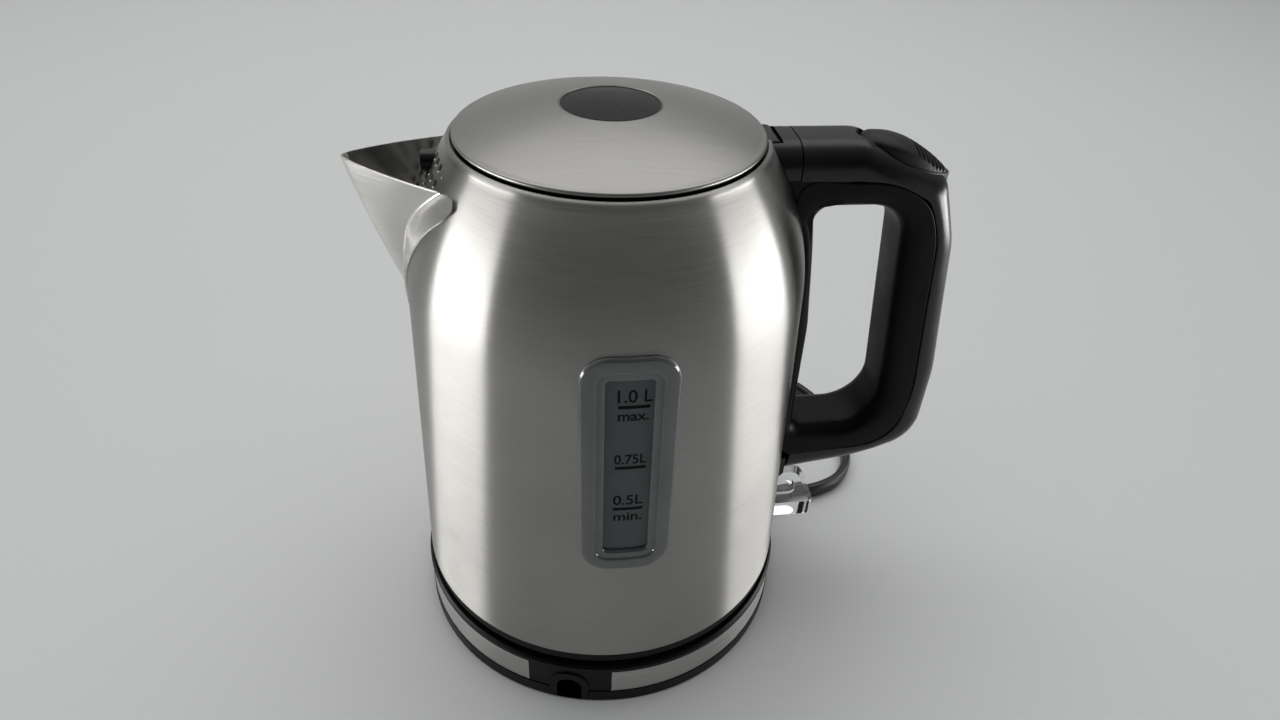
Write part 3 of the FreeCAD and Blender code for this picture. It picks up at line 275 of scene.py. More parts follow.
# %% [markdown]
# ## Helpers for finishes
#
# Every finish is one Principled shader with patterns in its colour, gloss and normal. The patterns
# are noise over Object coordinates, so they stay on a piece when it moves. A pattern is stretched,
# spread over a small range and linked in, and these helpers keep each of those steps to one line.

# %% Material helpers
def material(name, color, roughness, metallic=0.0, **inputs):
    """A Principled material with constants on its sockets; returns it with its nodes and shader."""
    made = bpy.data.materials.new(name)
    made.use_nodes = True
    shader = made.node_tree.nodes["Principled BSDF"]
    shader.inputs["Base Color"].default_value = (*color, 1.0)
    shader.inputs["Roughness"].default_value = roughness
    shader.inputs["Metallic"].default_value = metallic
    for key, value in inputs.items():
        shader.inputs[key.replace("_", " ")].default_value = value
    made.diffuse_color = (*color, 1.0)
    return made


def node(made, kind, **values):
    """A node of a kind, with its settings and input defaults given by name."""
    new = made.node_tree.nodes.new(kind)
    for key, value in values.items():
        if key in new.inputs:
            new.inputs[key].default_value = value
        else:
            setattr(new, key, value)
    return new


def link(made, *pairs):
    """Join output sockets to input sockets, pair by pair."""
    for out, into in pairs:
        made.node_tree.links.new(out, into)


def stretched_noise(made, scale, detail=3.0, rough=0.6):
    """Noise over Object coordinates, stretched by a different scale along each axis."""
    where = node(made, "ShaderNodeTexCoord")
    squeeze = node(made, "ShaderNodeMapping")
    squeeze.inputs["Scale"].default_value = scale
    noise = node(made, "ShaderNodeTexNoise", Scale=1.0, Detail=detail, Roughness=rough)
    link(made, (where.outputs["Object"], squeeze.inputs["Vector"]),
         (squeeze.outputs["Vector"], noise.inputs["Vector"]))
    return noise.outputs["Fac"]


def remap(made, value, low, high, start=0.3, end=0.7):
    """Spread a 0 to 1 value so that start becomes low and end becomes high."""
    spread = node(made, "ShaderNodeMapRange")
    for key, number in (("From Min", start), ("From Max", end), ("To Min", low), ("To Max", high)):
        spread.inputs[key].default_value = number
    link(made, (value, spread.inputs["Value"]))
    return spread.outputs["Result"]


def add_bump(made, height, strength, distance):
    """Tilt the shading normal by a height pattern; distance is in metres."""
    bump = node(made, "ShaderNodeBump", Strength=strength, Distance=distance)
    shader = made.node_tree.nodes["Principled BSDF"]
    link(made, (height, bump.inputs["Height"]), (bump.outputs["Normal"], shader.inputs["Normal"]))


def mixed_color(made, fac, color_a, color_b):
    """A colour between two, by a 0 to 1 value."""
    mix = node(made, "ShaderNodeMix", data_type="RGBA")
    for socket in mix.inputs:
        if socket.type == "RGBA":
            socket.default_value = (*(color_a if socket.name == "A" else color_b), 1.0)
    link(made, (fac, mix.inputs["Factor"]))
    return next(socket for socket in mix.outputs if socket.type == "RGBA")


print("finish helpers:", [f.__name__ for f in (stretched_noise, remap, add_bump, mixed_color)])

# %% [markdown]
# ## Steel
#
# Brushing leaves thousands of fine scratches that all run one way. Each scratch is a hair wide and
# centimetres long, so noise is stretched: it changes fast across the scratches and slowly along
# them. The scratches spread a reflection across their own direction, which the shader's
# anisotropy does. On a turned part they run round the axis, so the noise changes with height.

# %% Brushed steel
SCRATCH_DEPTH_M = 0.00006
SCRATCH_GLOSS, CLOUD_GLOSS = (-0.035, 0.045), (-0.02, 0.03)
SCRATCH_SHADE = 0.88
ACROSS_TURNS = 0.25


def brushed(name, scale, color, roughness, anisotropy, bump=0.2):
    """Brushed metal: the scratches' noise changes fastest along the axis with the largest scale."""
    made = material(name, color, roughness, metallic=1.0,
                    Anisotropic=anisotropy, Anisotropic_Rotation=ACROSS_TURNS)
    shader = made.node_tree.nodes["Principled BSDF"]
    fine = stretched_noise(made, scale, detail=4.0, rough=0.7)
    long_marks = stretched_noise(made, [s * 0.5 for s in scale], detail=2.0)
    clouds = stretched_noise(made, (22, 22, 22), detail=2.0)
    both = node(made, "ShaderNodeMath", operation="ADD")
    half = node(made, "ShaderNodeMath", operation="MULTIPLY")
    half.inputs[1].default_value = 0.5
    link(made, (fine, both.inputs[0]), (long_marks, both.inputs[1]), (both.outputs[0], half.inputs[0]))
    marks = half.outputs[0]
    rough = node(made, "ShaderNodeMath", operation="ADD")
    scratched = remap(made, marks, *(roughness + change for change in SCRATCH_GLOSS))
    link(made, (scratched, rough.inputs[0]), (remap(made, clouds, *CLOUD_GLOSS), rough.inputs[1]),
         (rough.outputs[0], shader.inputs["Roughness"]))
    darker = tuple(SCRATCH_SHADE * c for c in color)
    tint = mixed_color(made, remap(made, marks, 0, 1, 0.36, 0.6), darker, color)
    tangent = node(made, "ShaderNodeTangent", direction_type="RADIAL", axis="Z")
    link(made, (tint, shader.inputs["Base Color"]), (tangent.outputs[0], shader.inputs["Tangent"]))
    add_bump(made, marks, bump, SCRATCH_DEPTH_M)
    return made


body_steel = brushed("body_steel", (90, 90, 4200), (0.45, 0.44, 0.42), 0.34, anisotropy=1.0, bump=0.10)
lid_steel = brushed("lid_steel", (50, 4200, 50), (0.37, 0.362, 0.345), 0.36, anisotropy=0.3, bump=0.03)
spout_steel = brushed("spout_steel", (60, 60, 6000), (0.72, 0.705, 0.68), 0.20, anisotropy=0.8, bump=0.012)
band_steel = brushed("band_steel", (30, 30, 5000), (0.50, 0.49, 0.475), 0.24, anisotropy=0.9, bump=0.03)
plain_steel = brushed("plain_steel", (900, 900, 900), (0.6, 0.59, 0.57), 0.35, anisotropy=0.0)
print("steels:", [m.name for m in bpy.data.materials])

# %% [markdown]
# ## Plastics
#
# The handle's outer shell is a smooth black moulding with a soft gloss, and its inner shell has a
# fine spark-eroded grain that scatters light. The same black seems greyer there. Small bumps from
# fine noise give the grain, and a slow noise makes the gloss uneven, as handling does.

# %% Plastics and rubber
GRAIN_DEPTH_M = 0.00008


def plastic(name, color, roughness, grain, bump, spread=0.06, **inputs):
    """Moulded plastic: fine grain in the normal and slow variation in the gloss."""
    made = material(name, color, roughness, **inputs)
    shader = made.node_tree.nodes["Principled BSDF"]
    slow = stretched_noise(made, (55, 55, 55), detail=3.0)
    link(made, (remap(made, slow, roughness - spread, roughness + spread), shader.inputs["Roughness"]))
    lighter = tuple(min(1.0, 1.25 * c + 0.002) for c in color)
    link(made, (mixed_color(made, remap(made, slow, 0, 1), color, lighter), shader.inputs["Base Color"]))
    add_bump(made, stretched_noise(made, (grain,) * 3, detail=2.0), bump, GRAIN_DEPTH_M)
    return made


satin_black = plastic("satin_black", (0.004, 0.004, 0.0045), 0.29, 3000, 0.14, Specular_IOR_Level=0.42)
grain_black = plastic("grain_black", (0.0016, 0.0016, 0.0018), 0.38, 4200, 0.25, Specular_IOR_Level=0.13)
cord_black = plastic("cord_black", (0.003, 0.003, 0.0035), 0.30, 2500, 0.20)
badge_black = plastic("badge_black", (0.006, 0.0065, 0.0065), 0.30, 2500, 0.05, Specular_IOR_Level=0.2)
button_black = plastic("button_black", (0.009, 0.009, 0.0095), 0.46, 3500, 0.2, Specular_IOR_Level=0.3)
rubber = plastic("rubber", (0.03, 0.03, 0.03), 0.75, 2500, 0.5)
brass = material("brass", (0.80, 0.62, 0.32), 0.3, metallic=1.0)
aluminium = material("aluminium", (0.75, 0.75, 0.76), 0.4, metallic=1.0)
ink = plastic("ink", (0.002, 0.002, 0.003), 0.6, 1500, 0.05, Specular_IOR_Level=0.1)
clear = plastic("clear", (0.90, 0.93, 0.94), 0.05, 600, 0.02, spread=0.02,
                Transmission_Weight=1.0, IOR=1.3)
window_rim = plastic("window_rim", (0.085, 0.091, 0.094), 0.10, 900, 0.02, spread=0.03,
                     IOR=1.5, Specular_IOR_Level=0.8)
# The pane's dark colour is painted shade: it stands in for the shaded inside of the vessel behind it.
window_pane = plastic("window_pane", (0.050, 0.058, 0.064), 0.22, 900, 0.04, spread=0.04, IOR=1.46)
print("materials:", len(bpy.data.materials))


def dress(thing, made, body):
    """Give a piece its material and the body it rides on."""
    thing.data.materials.clear()
    thing.data.materials.append(made)
    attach(thing, body)
    return thing


# %% [markdown]
# ## The vessel
#
# A deep-drawn steel wall, closed into a solid by giving it an inside 0.6 mm further in. The outline
# goes up the outside, over a rolled rim and down the inside, and is then turned about the axis.

# %% Vessel wall
def vessel_profile():
    """Outer wall up, a rolled rim, and the inner wall down, as (r, z) points."""
    outer_z = np.r_[np.linspace(FOOT_Z + 0.4, CONE_Z, 14), np.linspace(CONE_Z, MOUTH_Z, 44)[1:]]
    outer = np.stack([wall_r(outer_z), outer_z], -1)
    rim = bent((wall_r(MOUTH_Z), MOUTH_Z), (49.7, 190.35), (48.35, 190.2))
    inner_z = np.r_[np.linspace(MOUTH_Z - 0.3, CONE_Z, 30), np.linspace(CONE_Z, FOOT_Z, 5)[1:]]
    inner = np.stack([wall_r(inner_z) - SHEET, inner_z], -1)
    lip = np.array([[48.0, 189.7]])
    foot = np.array([[FOOT_R - 0.25, FOOT_Z]])
    return np.vstack([outer, rim, lip, inner, foot])


vessel = lathe("vessel", vessel_profile(), segments=480)
print("turned vessel faces:", len(vessel.data.polygons))

# %% [markdown]
# ## Cutting an opening
#
# A hole is cut with a bar of the hole's outline. Cutting a fine turned grid keeps every reflection
# smooth, because the faces that are left still lie on the turned surface. All the bars for one
# piece are joined first, so the piece is cut only once.

# %% Bars and cuts
def prism(name, outline, start, end, place):
    """A closed bar with a flat outline; place maps outline points and a depth to x, y, z."""
    grid = np.stack([place(outline, depth) for depth in (start, end)])
    return grid_object(name, grid, wrap_columns=True, cap_rows=True)


def along_x(outline, depth):
    """Outline (u, v) becomes y = u and z = v, and the depth is x."""
    return np.stack([np.full(len(outline), depth), outline[:, 0], outline[:, 1]], -1)


def along_y(outline, depth):
    """Outline (u, v) becomes x = u and z = v, and the depth is y."""
    return np.stack([outline[:, 0], np.full(len(outline), depth), outline[:, 1]], -1)


def circle(u, v, radius, count=20):
    """Points u + radius cos a, v + radius sin a, with a going once round."""
    a = np.linspace(0, 2 * np.pi, count, endpoint=False)
    return np.stack([u + radius * np.cos(a), v + radius * np.sin(a)], -1)


def cut(thing, cutters, sharp=SHARP_DEG):
    """Subtract closed pieces from a closed piece, keep the result, and remove the cutters."""
    bpy.ops.object.select_all(action="DESELECT")
    for c in cutters:
        c.select_set(True)
    bpy.context.view_layer.objects.active = cutters[0]
    if len(cutters) > 1:
        bpy.ops.object.join()
    tool = cutters[0]
    modifier = thing.modifiers.new("cut", "BOOLEAN")
    modifier.operation, modifier.object, modifier.solver = "DIFFERENCE", tool, "MANIFOLD"
    result = bpy.data.meshes.new_from_object(thing.evaluated_get(bpy.context.evaluated_depsgraph_get()))
    thing.modifiers.clear()
    thing.data = result
    bpy.data.objects.remove(tool)
    shade(result, sharp)
    return thing


print("points round a hole:", len(circle(0.0, 0.0, 1.0)))

# %% [markdown]
# ## The vessel's openings
#
# Behind the spout a close field of small holes strains the water, in a triangle that narrows
# downwards. There is one larger hole for the filter's peg, the window's opening, a notch for the
# switch lever and a notch for the lid's hinge.

# %% Cut vessel
HOLE_PITCH, HOLE_R = 4.4, 1.25
HOLES_TOP, HOLES_BOTTOM, HOLES_POINT, HOLES_SPREAD = 185.0, 152.0, 148.0, 0.58
PEG_Z, PEG_HOLE_R = 182.0, 3.4
WINDOW_CUT = (11.4, 75.0, 148.6, 7.0)
LEVER_CUT = (13.0, 20.0, 38.5, 1.0)
HINGE_CUT = (7.3, 183.0, 200.0, 0.8)


def strainer_bars():
    """Bars in rows: every second row is shifted by half a pitch, and rows are narrower lower down."""
    bars, row, z = [], 0, HOLES_TOP
    while z > HOLES_BOTTOM:
        reach = (z - HOLES_POINT) * HOLES_SPREAD
        shift = HOLE_PITCH / 2 if row % 2 else 0.0
        first = -reach + (reach + shift) % HOLE_PITCH
        for y in np.arange(first, reach + 1e-6, HOLE_PITCH):
            bars.append(prism("hole", circle(y, z, HOLE_R), -90, -50, along_x))
        z -= HOLE_PITCH * math.sin(math.radians(60))
        row += 1
    return bars


bars = strainer_bars()
bars.append(prism("peg_hole", circle(0, PEG_Z, PEG_HOLE_R, 32), -70, -40, along_x))
bars.append(prism("window_hole", rounded(rectangle(*WINDOW_CUT)), -90, -30, along_y))
bars.append(prism("lever_notch", rounded(rectangle(*LEVER_CUT)), 40, 90, along_x))
bars.append(prism("hinge_notch", rounded(rectangle(*HINGE_CUT)), 40, 60, along_x))
print("openings:", len(bars))
cut(vessel, bars)
dress(vessel, body_steel, "kettle")
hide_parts("body_shell")
print("vessel faces:", len(vessel.data.polygons))

# %% [markdown]
# ## The spout
#
# The spout is one folded sheet: a V-shaped beak whose two sides meet in a rounded keel, and a
# leaf-shaped flange that lies flat on the vessel. Across the sheet one parameter runs from the
# flange's edge, over the fold, down to the keel and up the other side. The other parameter is
# height. The widths of the fold and of the leaf are smooth functions of height.

# %% Spout curves
LEVEL_Z = np.array([139.5, 150.0, 158.0, 165.0, 172.0, 178.0, 184.0, 190.0])
KEEL = np.array([66.6, 70.3, 73.0, 75.2, 77.2, 78.9, 80.3, 81.4])
FOLD = np.array([0.05, 3.2, 5.0, 7.6, 12.8, 18.6, 24.4, 29.0])
LEAF_Z = np.array([131.5, 139.0, 148.0, 159.5, 170.0, 177.6, 180.2, 182.2])
LEAF = np.array([0.0, 4.6, 9.6, 17.0, 24.2, 29.8, 30.6, 28.8])
TIP, RIM_END = np.array([-80.2, 184.0]), np.array([-47.8, 181.0])
LEAST_FOLD = 0.8
FLANGE_LIFT = 0.45


def smooth_curve(at, x, y):
    """A smooth curve through points: cubic pieces whose end slopes are the points' mean slopes."""
    d = np.gradient(y, x)
    i = np.clip(np.searchsorted(x, at, side="right") - 1, 0, len(x) - 2)
    h = x[i + 1] - x[i]
    t = np.clip((at - x[i]) / h, 0, 1)
    a, b = 2 * t ** 3 - 3 * t ** 2 + 1, t ** 3 - 2 * t ** 2 + t
    return a * y[i] + b * h * d[i] + (1 - a) * y[i + 1] + (t ** 3 - t ** 2) * h * d[i + 1]


def rim_z(x):
    """Height of the spout's cut edge: a straight line from the tip to the vessel."""
    return TIP[1] + (RIM_END[1] - TIP[1]) * (x - TIP[0]) / (RIM_END[0] - TIP[0])


def fold_width(z):
    """Half the beak's width where it meets the vessel; it never falls under LEAST_FOLD."""
    return np.hypot(np.where(z < LEVEL_Z[0], 0.0, smooth_curve(z, LEVEL_Z, FOLD)), LEAST_FOLD)


def beak_point(s, z):
    """x and y on one side of the V: s is 0 at the keel and 1 at the fold on the vessel.

    y grows with s and bulges a little; x goes from the keel to the vessel along a line whose start
    is rounded: the square root of s squared plus the keel's sharpness squared."""
    fold = fold_width(z)
    root = np.sqrt(np.maximum((wall_r(z) + FLANGE_LIFT) ** 2 - fold ** 2, 0))
    keel = np.where(z < LEVEL_Z[0], root, np.maximum(smooth_curve(z, LEVEL_Z, KEEL), root))
    nose = np.clip(0.36 * fold, 0.02, 2.3)
    y = fold * s + 0.22 * fold * s * (1 - s)
    sharpness = nose / np.maximum(fold, 0.05)
    way = (np.sqrt(s ** 2 + sharpness ** 2) - sharpness) / (np.sqrt(1 + sharpness ** 2) - sharpness)
    return root * way + keel * (1 - way), y


print("spout's width on the vessel at each level:", (2 * fold_width(LEVEL_Z)).round(1))

# %% [markdown]
# ## The spout's sheet
#
# Half of the sheet is worked out, its fold is rounded, and the other half is its mirror. The sheet
# gets its thickness here, not from a modifier: each point is pushed half the gauge to both sides
# along its own normal, so the narrow rows near the point stay clean.

# %% Spout sheet
SPOUT_SHEET = 0.7
SHEET_FOOT_Z, LEAF_TOP_Z = 132.2, 182.2


def soften(side, crease, reach=5, times=5):
    """Round the fold: near the crease a point becomes half itself, a quarter of each neighbour."""
    near = slice(crease - reach, crease + reach)
    before = slice(crease - reach - 1, crease + reach - 1)
    after = slice(crease - reach + 1, crease + reach + 1)
    for _ in range(times):
        side[near] = 0.5 * side[near] + 0.25 * (side[before] + side[after])
    return side


def spout_side(columns_beak=46, columns_leaf=16, rows=120):
    """Half of the sheet: (columns, rows, 3) points from the keel to the leaf's edge."""
    v = np.linspace(0, 1, rows)[None, :] ** 0.9
    s = (np.linspace(0, 1, columns_beak) ** 1.25)[:, None]
    fine_z = np.linspace(139, 190, 900)[None, :]
    x, _ = beak_point(s, np.broadcast_to(fine_z, (columns_beak, 900)))
    top = fine_z[0, np.argmax(fine_z > rim_z(-x), axis=1)][:, None]
    z = SHEET_FOOT_Z + (top - SHEET_FOOT_Z) * v
    x, y = beak_point(s, z)
    beak = np.stack([-x, y, z], -1)
    q = np.linspace(0, 1, columns_leaf + 1)[1:, None]
    z_top = top[-1] + (LEAF_TOP_Z - top[-1]) * np.minimum(1, 3 * q)
    z = SHEET_FOOT_Z + (z_top - SHEET_FOOT_Z) * v
    fold = fold_width(z)
    y = fold + (np.maximum(smooth_curve(z, LEAF_Z, LEAF), fold + 0.4) - fold) * q
    x = np.sqrt((wall_r(z) + FLANGE_LIFT) ** 2 - y ** 2)
    return soften(np.concatenate([beak, np.stack([-x, y, z], -1)]), columns_beak)


def spout_object():
    """Both halves with thickness: points p + t n and p - t n, n the unit normal, t half the gauge."""
    half = spout_side()
    middle = np.concatenate([half[::-1][:-1] * np.array([1, -1, 1]), half])
    normal = np.cross(np.gradient(middle, axis=0), np.gradient(middle, axis=1))
    normal /= np.linalg.norm(normal, axis=2, keepdims=True)
    step = 0.5 * SPOUT_SHEET * normal
    loops = np.concatenate([middle + step, (middle - step)[:, ::-1]], 1)
    edges = np.concatenate([middle, middle[:, ::-1]], 1)
    closed = np.concatenate([edges[:1], loops, edges[-1:]])
    return grid_object("spout_sheet", closed, wrap_columns=True, sharp=50)


spout = dress(spout_object(), spout_steel, "kettle")
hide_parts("spout")
print("spout faces:", len(spout.data.polygons))

# %% [markdown]
# ## The lid
#
# The dome is a shallow piece of a sphere with a bright rounded lip. A black disc sits in a round
# recess, level with the steel. Both are turned outlines: the gap between them is real, so it
# catches a thin shadow.

# %% Lid dome and disc
LID_R, LID_LIP_Z, LID_TOP_Z, LID_FOOT_Z = 47.8, 190.8, 200.4, 190.85
DISC_R, DISC_EDGE, DISC_FOOT_Z = 15.3, 0.6, 197.2
RECESS_R, RECESS_DEEP = DISC_R + 0.2, 1.05
POST_R = 8.0
DOME_EDGE = LID_R - 1.3


def dome_z(r, drop=0.0):
    """Height of the dome at a distance from its centre: a sphere through the top and the lip."""
    rise = LID_TOP_Z - LID_LIP_Z - 1.0
    sphere = (rise ** 2 + LID_R ** 2) / (2 * rise)
    return LID_TOP_Z - drop - sphere + np.sqrt(sphere ** 2 - np.asarray(r, float) ** 2)


def dome_profile():
    """Out over the dome, round the lip, back underneath, and up into the disc's recess."""
    r = np.linspace(DISC_R + 0.55, DOME_EDGE, 40)
    edge_z = dome_z(DOME_EDGE)
    lip = bent((DOME_EDGE, edge_z), (LID_R + 0.05, edge_z - 0.1), (LID_R, 191.3))
    back = np.linspace(LID_R - 1.2, POST_R, 24)
    under = np.stack([back, dome_z(back, 0.9)], -1)
    under[0, 1] = LID_FOOT_Z
    floor_z = LID_TOP_Z - RECESS_DEEP
    recess = [(POST_R, floor_z), (RECESS_R, floor_z), (RECESS_R, dome_z(RECESS_R) - 0.35)]
    return np.vstack([np.stack([r, dome_z(r)], -1), lip, [[LID_R - 0.25, LID_FOOT_Z]], under, recess])


def disc_profile():
    """Out over the disc, round its edge, and down to its post."""
    r = np.linspace(0, DISC_R - DISC_EDGE, 20)
    a = np.linspace(0, np.pi / 2, 6)[1:]
    top = np.stack([r, dome_z(r) - 0.03 - 0.25 * (r / DISC_R) ** 2], -1)
    edge = np.stack([DISC_R - DISC_EDGE + DISC_EDGE * np.sin(a),
                     dome_z(DISC_R) - 0.62 + DISC_EDGE * np.cos(a)], -1)
    foot_z, post = LID_TOP_Z - 1.03, POST_R - 0.2
    foot = [(DISC_R, foot_z), (post, foot_z), (post, DISC_FOOT_Z), (0, DISC_FOOT_Z)]
    return np.vstack([top, edge, foot])


lid = dress(lathe("lid_dome", dome_profile(), 384, sharp=40), lid_steel, "lid")
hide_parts("lid_cover")
badge = dress(lathe("lid_disc", disc_profile(), 192), badge_black, "lid")
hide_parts("lid_badge")
print("dome height at its edge:", round(float(dome_z(DOME_EDGE)), 2))

# %% [markdown]
# ## The water window
#
# One clear moulding lies on the steel: a rounded rim, a step down to an inner rim, and a pane that
# is set back. Its shape is a set of copies of the outline, each drawn further in and given its own
# lift off the steel. The pane is milky, and the dark inside of the vessel behind it is painted into
# its colour as a dark tint: painted shade.

# %% Window moulding
WINDOW = (14.6, 71.0, 152.4, 9.0)
PANE_HALF, PANE_LOW, PANE_HIGH = 7.0, 78.6, 144.8
PANE_LIFT, PANE_THICK = -0.55, 1.4


def window_rings(steps):
    """A (rings, points, 3) grid: the outline inset by a step's first number, lifted by its second."""
    half, low, high, corner = WINDOW
    outline = resample(rounded(rectangle(half, low, high, corner), per_arc=24), 400, closed=True)
    normal = outward(outline)
    return np.stack([on_front(*(outline - normal * inset).T, lift) for inset, lift in steps])


def pane_face(lift, across=17, up=60):
    """A rectangle on the vessel's curve: x across, z up, lifted off the steel."""
    x = np.linspace(-PANE_HALF, PANE_HALF, across)[:, None] + np.zeros(up)
    z = np.linspace(PANE_LOW, PANE_HIGH, up) + np.zeros((across, 1))
    return on_front(x, z, lift)


hidden = [(3.5, -2.6), (3.3, -0.4), (2.6, 0.05)]
edge_up = [(1.1 - 1.1 * math.cos(a), 0.05 + 1.25 * math.sin(a)) for a in np.linspace(0, np.pi / 2, 7)]
bead = [(4.2, 1.34), (4.7, 1.22), (4.95, 0.95), (5.05, 0.66), (5.4, 0.58)]
inner_rim = [(6.9, 0.66), (7.3, 0.50), (7.5, 0.1), (7.6, -0.5), (7.7, -2.6)]
rings = window_rings([*hidden, *edge_up, *bead, *inner_rim])
rim = grid_object("window_rim", rings, wrap_rows=True, wrap_columns=True, sharp=50)
dress(rim, window_rim, "kettle")
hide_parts("sight_window")
# The pane lets no light through; its dark colour is painted shade for the vessel's inside.
front, back = pane_face(PANE_LIFT), pane_face(PANE_LIFT - PANE_THICK)
pane = grid_object("window_pane_front", np.concatenate([front, back[::-1]]), wrap_rows=True)
dress(pane, window_pane, "kettle")
print("window rim faces:", len(rim.data.polygons))

# %% [markdown]
# ## The litre scale
#
# Bars and numbers are printed on the pane. Blender's own plain font is turned into a mesh, then
# each point is laid on the pane's curve, a hair in front of it.

# %% Scale marks
INK_LIFT, LETTER_BOLD = 0.03, 0.08
BAR_HALF, BAR_TALL = 4.6, 1.15
BARS = (("1_0", 1.3, 135.2), ("0_75", 0.8, 112.7), ("0_5", 0.5, 96.1))
TEXTS = (("text_1", "1.0 L", 6.2, 0.90, 1.0, 136.9), ("text_max", "max.", 4.9, 1.0, 1.2, 130.4),
         ("text_075", "0.75L", 5.0, 0.88, 0.7, 114.3), ("text_05", "0.5L", 5.4, 1.0, 0.4, 97.9),
         ("text_min", "min.", 5.0, 1.08, 0.5, 91.2))


def points_of(mesh):
    """A mesh's points as a (count, 3) array, in metres."""
    co = np.zeros(len(mesh.vertices) * 3)
    mesh.vertices.foreach_get("co", co)
    return co.reshape(-1, 3)


def printed(name, text, size, wide, x, z):
    """Text as thin ink on the pane: flat letters laid on the curve by their x and height."""
    curve = bpy.data.curves.new(name, "FONT")
    curve.body, curve.size, curve.align_x = text, size, "CENTER"
    curve.resolution_u, curve.offset = 6, LETTER_BOLD
    holder = bpy.data.objects.new(name, curve)
    bpy.context.scene.collection.objects.link(holder)
    flat = bpy.data.meshes.new_from_object(holder.evaluated_get(bpy.context.evaluated_depsgraph_get()))
    bpy.data.objects.remove(holder)
    across, up, _ = points_of(flat).T
    placed = on_front(across * wide + x, up + z, PANE_LIFT + INK_LIFT)
    flat.vertices.foreach_set("co", (placed * MM).ravel())
    thing = bpy.data.objects.new(name, flat)
    bpy.context.scene.collection.objects.link(thing)
    return thing


def bar(name, x, z):
    """A printed bar, curved with the pane, its middle at x and z."""
    across = np.linspace(x - BAR_HALF, x + BAR_HALF, 12)[:, None] + np.zeros(2)
    up = z + np.array([-BAR_TALL / 2, BAR_TALL / 2]) + 0 * across
    return grid_object(name, on_front(across, up, PANE_LIFT + INK_LIFT))


marks = [bar("bar_" + label, x, z) for label, x, z in BARS] + [printed(*text) for text in TEXTS]
for mark in marks:
    dress(mark, ink, "kettle")
print("marks:", len(marks))

# %% [markdown]
# ## The handle
#
# The handle is a D with two shells: a smooth outer one and a grained inner one, with a fine groove
# where they meet. Each shell is a rounded section carried along its outer or inner outline. At
# every station the section reaches from that outline to the seam line, so both shells share one
# seam. The reach is found by following the outline's normal until it meets the seam.

# %% Handle lines
GRIP_HALF = 12.5
OUTER_LINE = [(58.8, 189.5, 0), (80.0, 189.5, 12), (109.9, 177.0, 7), (117.6, 154.0, 32), (124.6, 100.0, 60),
              (124.4, 66.0, 17), (98.0, 56.8, 30), (70.9, 52.5, 0)]
OPENING_LINE = [(71.4, 76.0, 4), (105.6, 76.0, 15), (96.8, 168.0, 13), (66.0, 168.0, 5), (71.2, 122.0, 70)]
SEAM_LINE = [(40.0, 178.6, 0), (90.0, 177.4, 30), (104.0, 170.0, 14), (109.4, 156.0, 30), (115.8, 92.0, 40),
             (112.6, 67.0, 16), (92.0, 65.6, 20), (40.0, 61.6, 0)]
seam_line = rounded(SEAM_LINE, closed=False, per_arc=16)
SEAM_GAP = 0.15


def reach_to(line, points, direction):
    """Distance from each point along its direction to the first crossing with a flat line."""
    a, b = line[:-1][None], line[1:][None]
    p, d = points[:, None], direction[:, None]
    run = b - a
    cross = d[..., 0] * run[..., 1] - d[..., 1] * run[..., 0]
    gap = a - p
    with np.errstate(divide="ignore", invalid="ignore"):
        far = (gap[..., 0] * run[..., 1] - gap[..., 1] * run[..., 0]) / cross
        part = (gap[..., 0] * d[..., 1] - gap[..., 1] * d[..., 0]) / cross
    far = np.where((part >= -1e-6) & (part <= 1 + 1e-6) & (far > 0.2), far, np.inf)
    return far.min(axis=1)


def smoothed(values, width):
    """Each row averaged with its neighbours under a bell curve, ends repeated."""
    steps = np.arange(-3 * width, 3 * width + 1)
    bell = np.exp(-0.5 * (steps / width) ** 2)
    bell /= bell.sum()
    reach = len(steps) // 2
    padded = np.vstack([np.repeat(values[:1], reach, 0), values, np.repeat(values[-1:], reach, 0)])
    return np.stack([np.convolve(column, bell, "valid") for column in padded.T], -1)


def smoothed_ring(values, width):
    """The same for rows that form a closed ring: three turns are smoothed, the middle one kept."""
    count = len(values)
    return smoothed(np.tile(values, (3, 1)), width)[count:2 * count]


print("seam points:", len(seam_line))

# %% [markdown]
# ## The shells' section
#
# A shell's section has a small round at the seam, so the groove shows as a thin line, and a large
# round at its free edge, where the palm or the fingers lie. It is as wide as the reach to the seam
# at each station, and both shells are carried along their lines by the same function.

# %% Shell section
def shell_section(width, far_round, near_round=0.55, arc=9):
    """(w, y) loop at each station: w from 0 at the seam to width at the free edge, corners rounded."""
    a = np.linspace(0, np.pi / 2, arc)
    far = np.minimum(far_round, width - near_round - 0.3)[:, None]
    wide = width[:, None]
    near_w = near_round * (1 - np.sin(a[::-1]))
    near_y = GRIP_HALF - near_round * (1 - np.cos(a[::-1]))
    far_w, far_y = wide - far + far * np.sin(a), GRIP_HALF - far_round * (1 - np.cos(a)) + 0 * wide
    one = np.ones_like(wide)
    side_w = np.concatenate([near_w * one, far_w], 1)
    side_y = np.concatenate([near_y * one, far_y], 1)
    w = np.concatenate([side_w, side_w[:, ::-1]], 1)
    y = np.concatenate([side_y, -side_y[:, ::-1]], 1)
    return w, y


def carried(name, line, normal, width, far_round, closed):
    """The section at each station: the line's point plus the normal times (width - w)."""
    w, y = shell_section(width, far_round)
    depth = width[:, None] - w
    x, z = (line[:, k:k + 1] + normal[:, k:k + 1] * depth for k in (0, 1))
    print(name, "width from", width.min().round(1), "to", width.max().round(1))
    return grid_object(name, np.stack([x, y, z], -1), wrap_rows=closed, wrap_columns=True,
                       cap_rows=not closed, sharp=40)


print("points round a section:", shell_section(np.array([10.0]), 6.0)[0].shape[1])

# %% [markdown]
# ## The outer shell
#
# It runs from the vessel over the top, down the back of the hand and in to the vessel again. The
# button sits in an oval well with a sloping floor, cut from the shell, and a thin collar stands
# round the button inside the well.

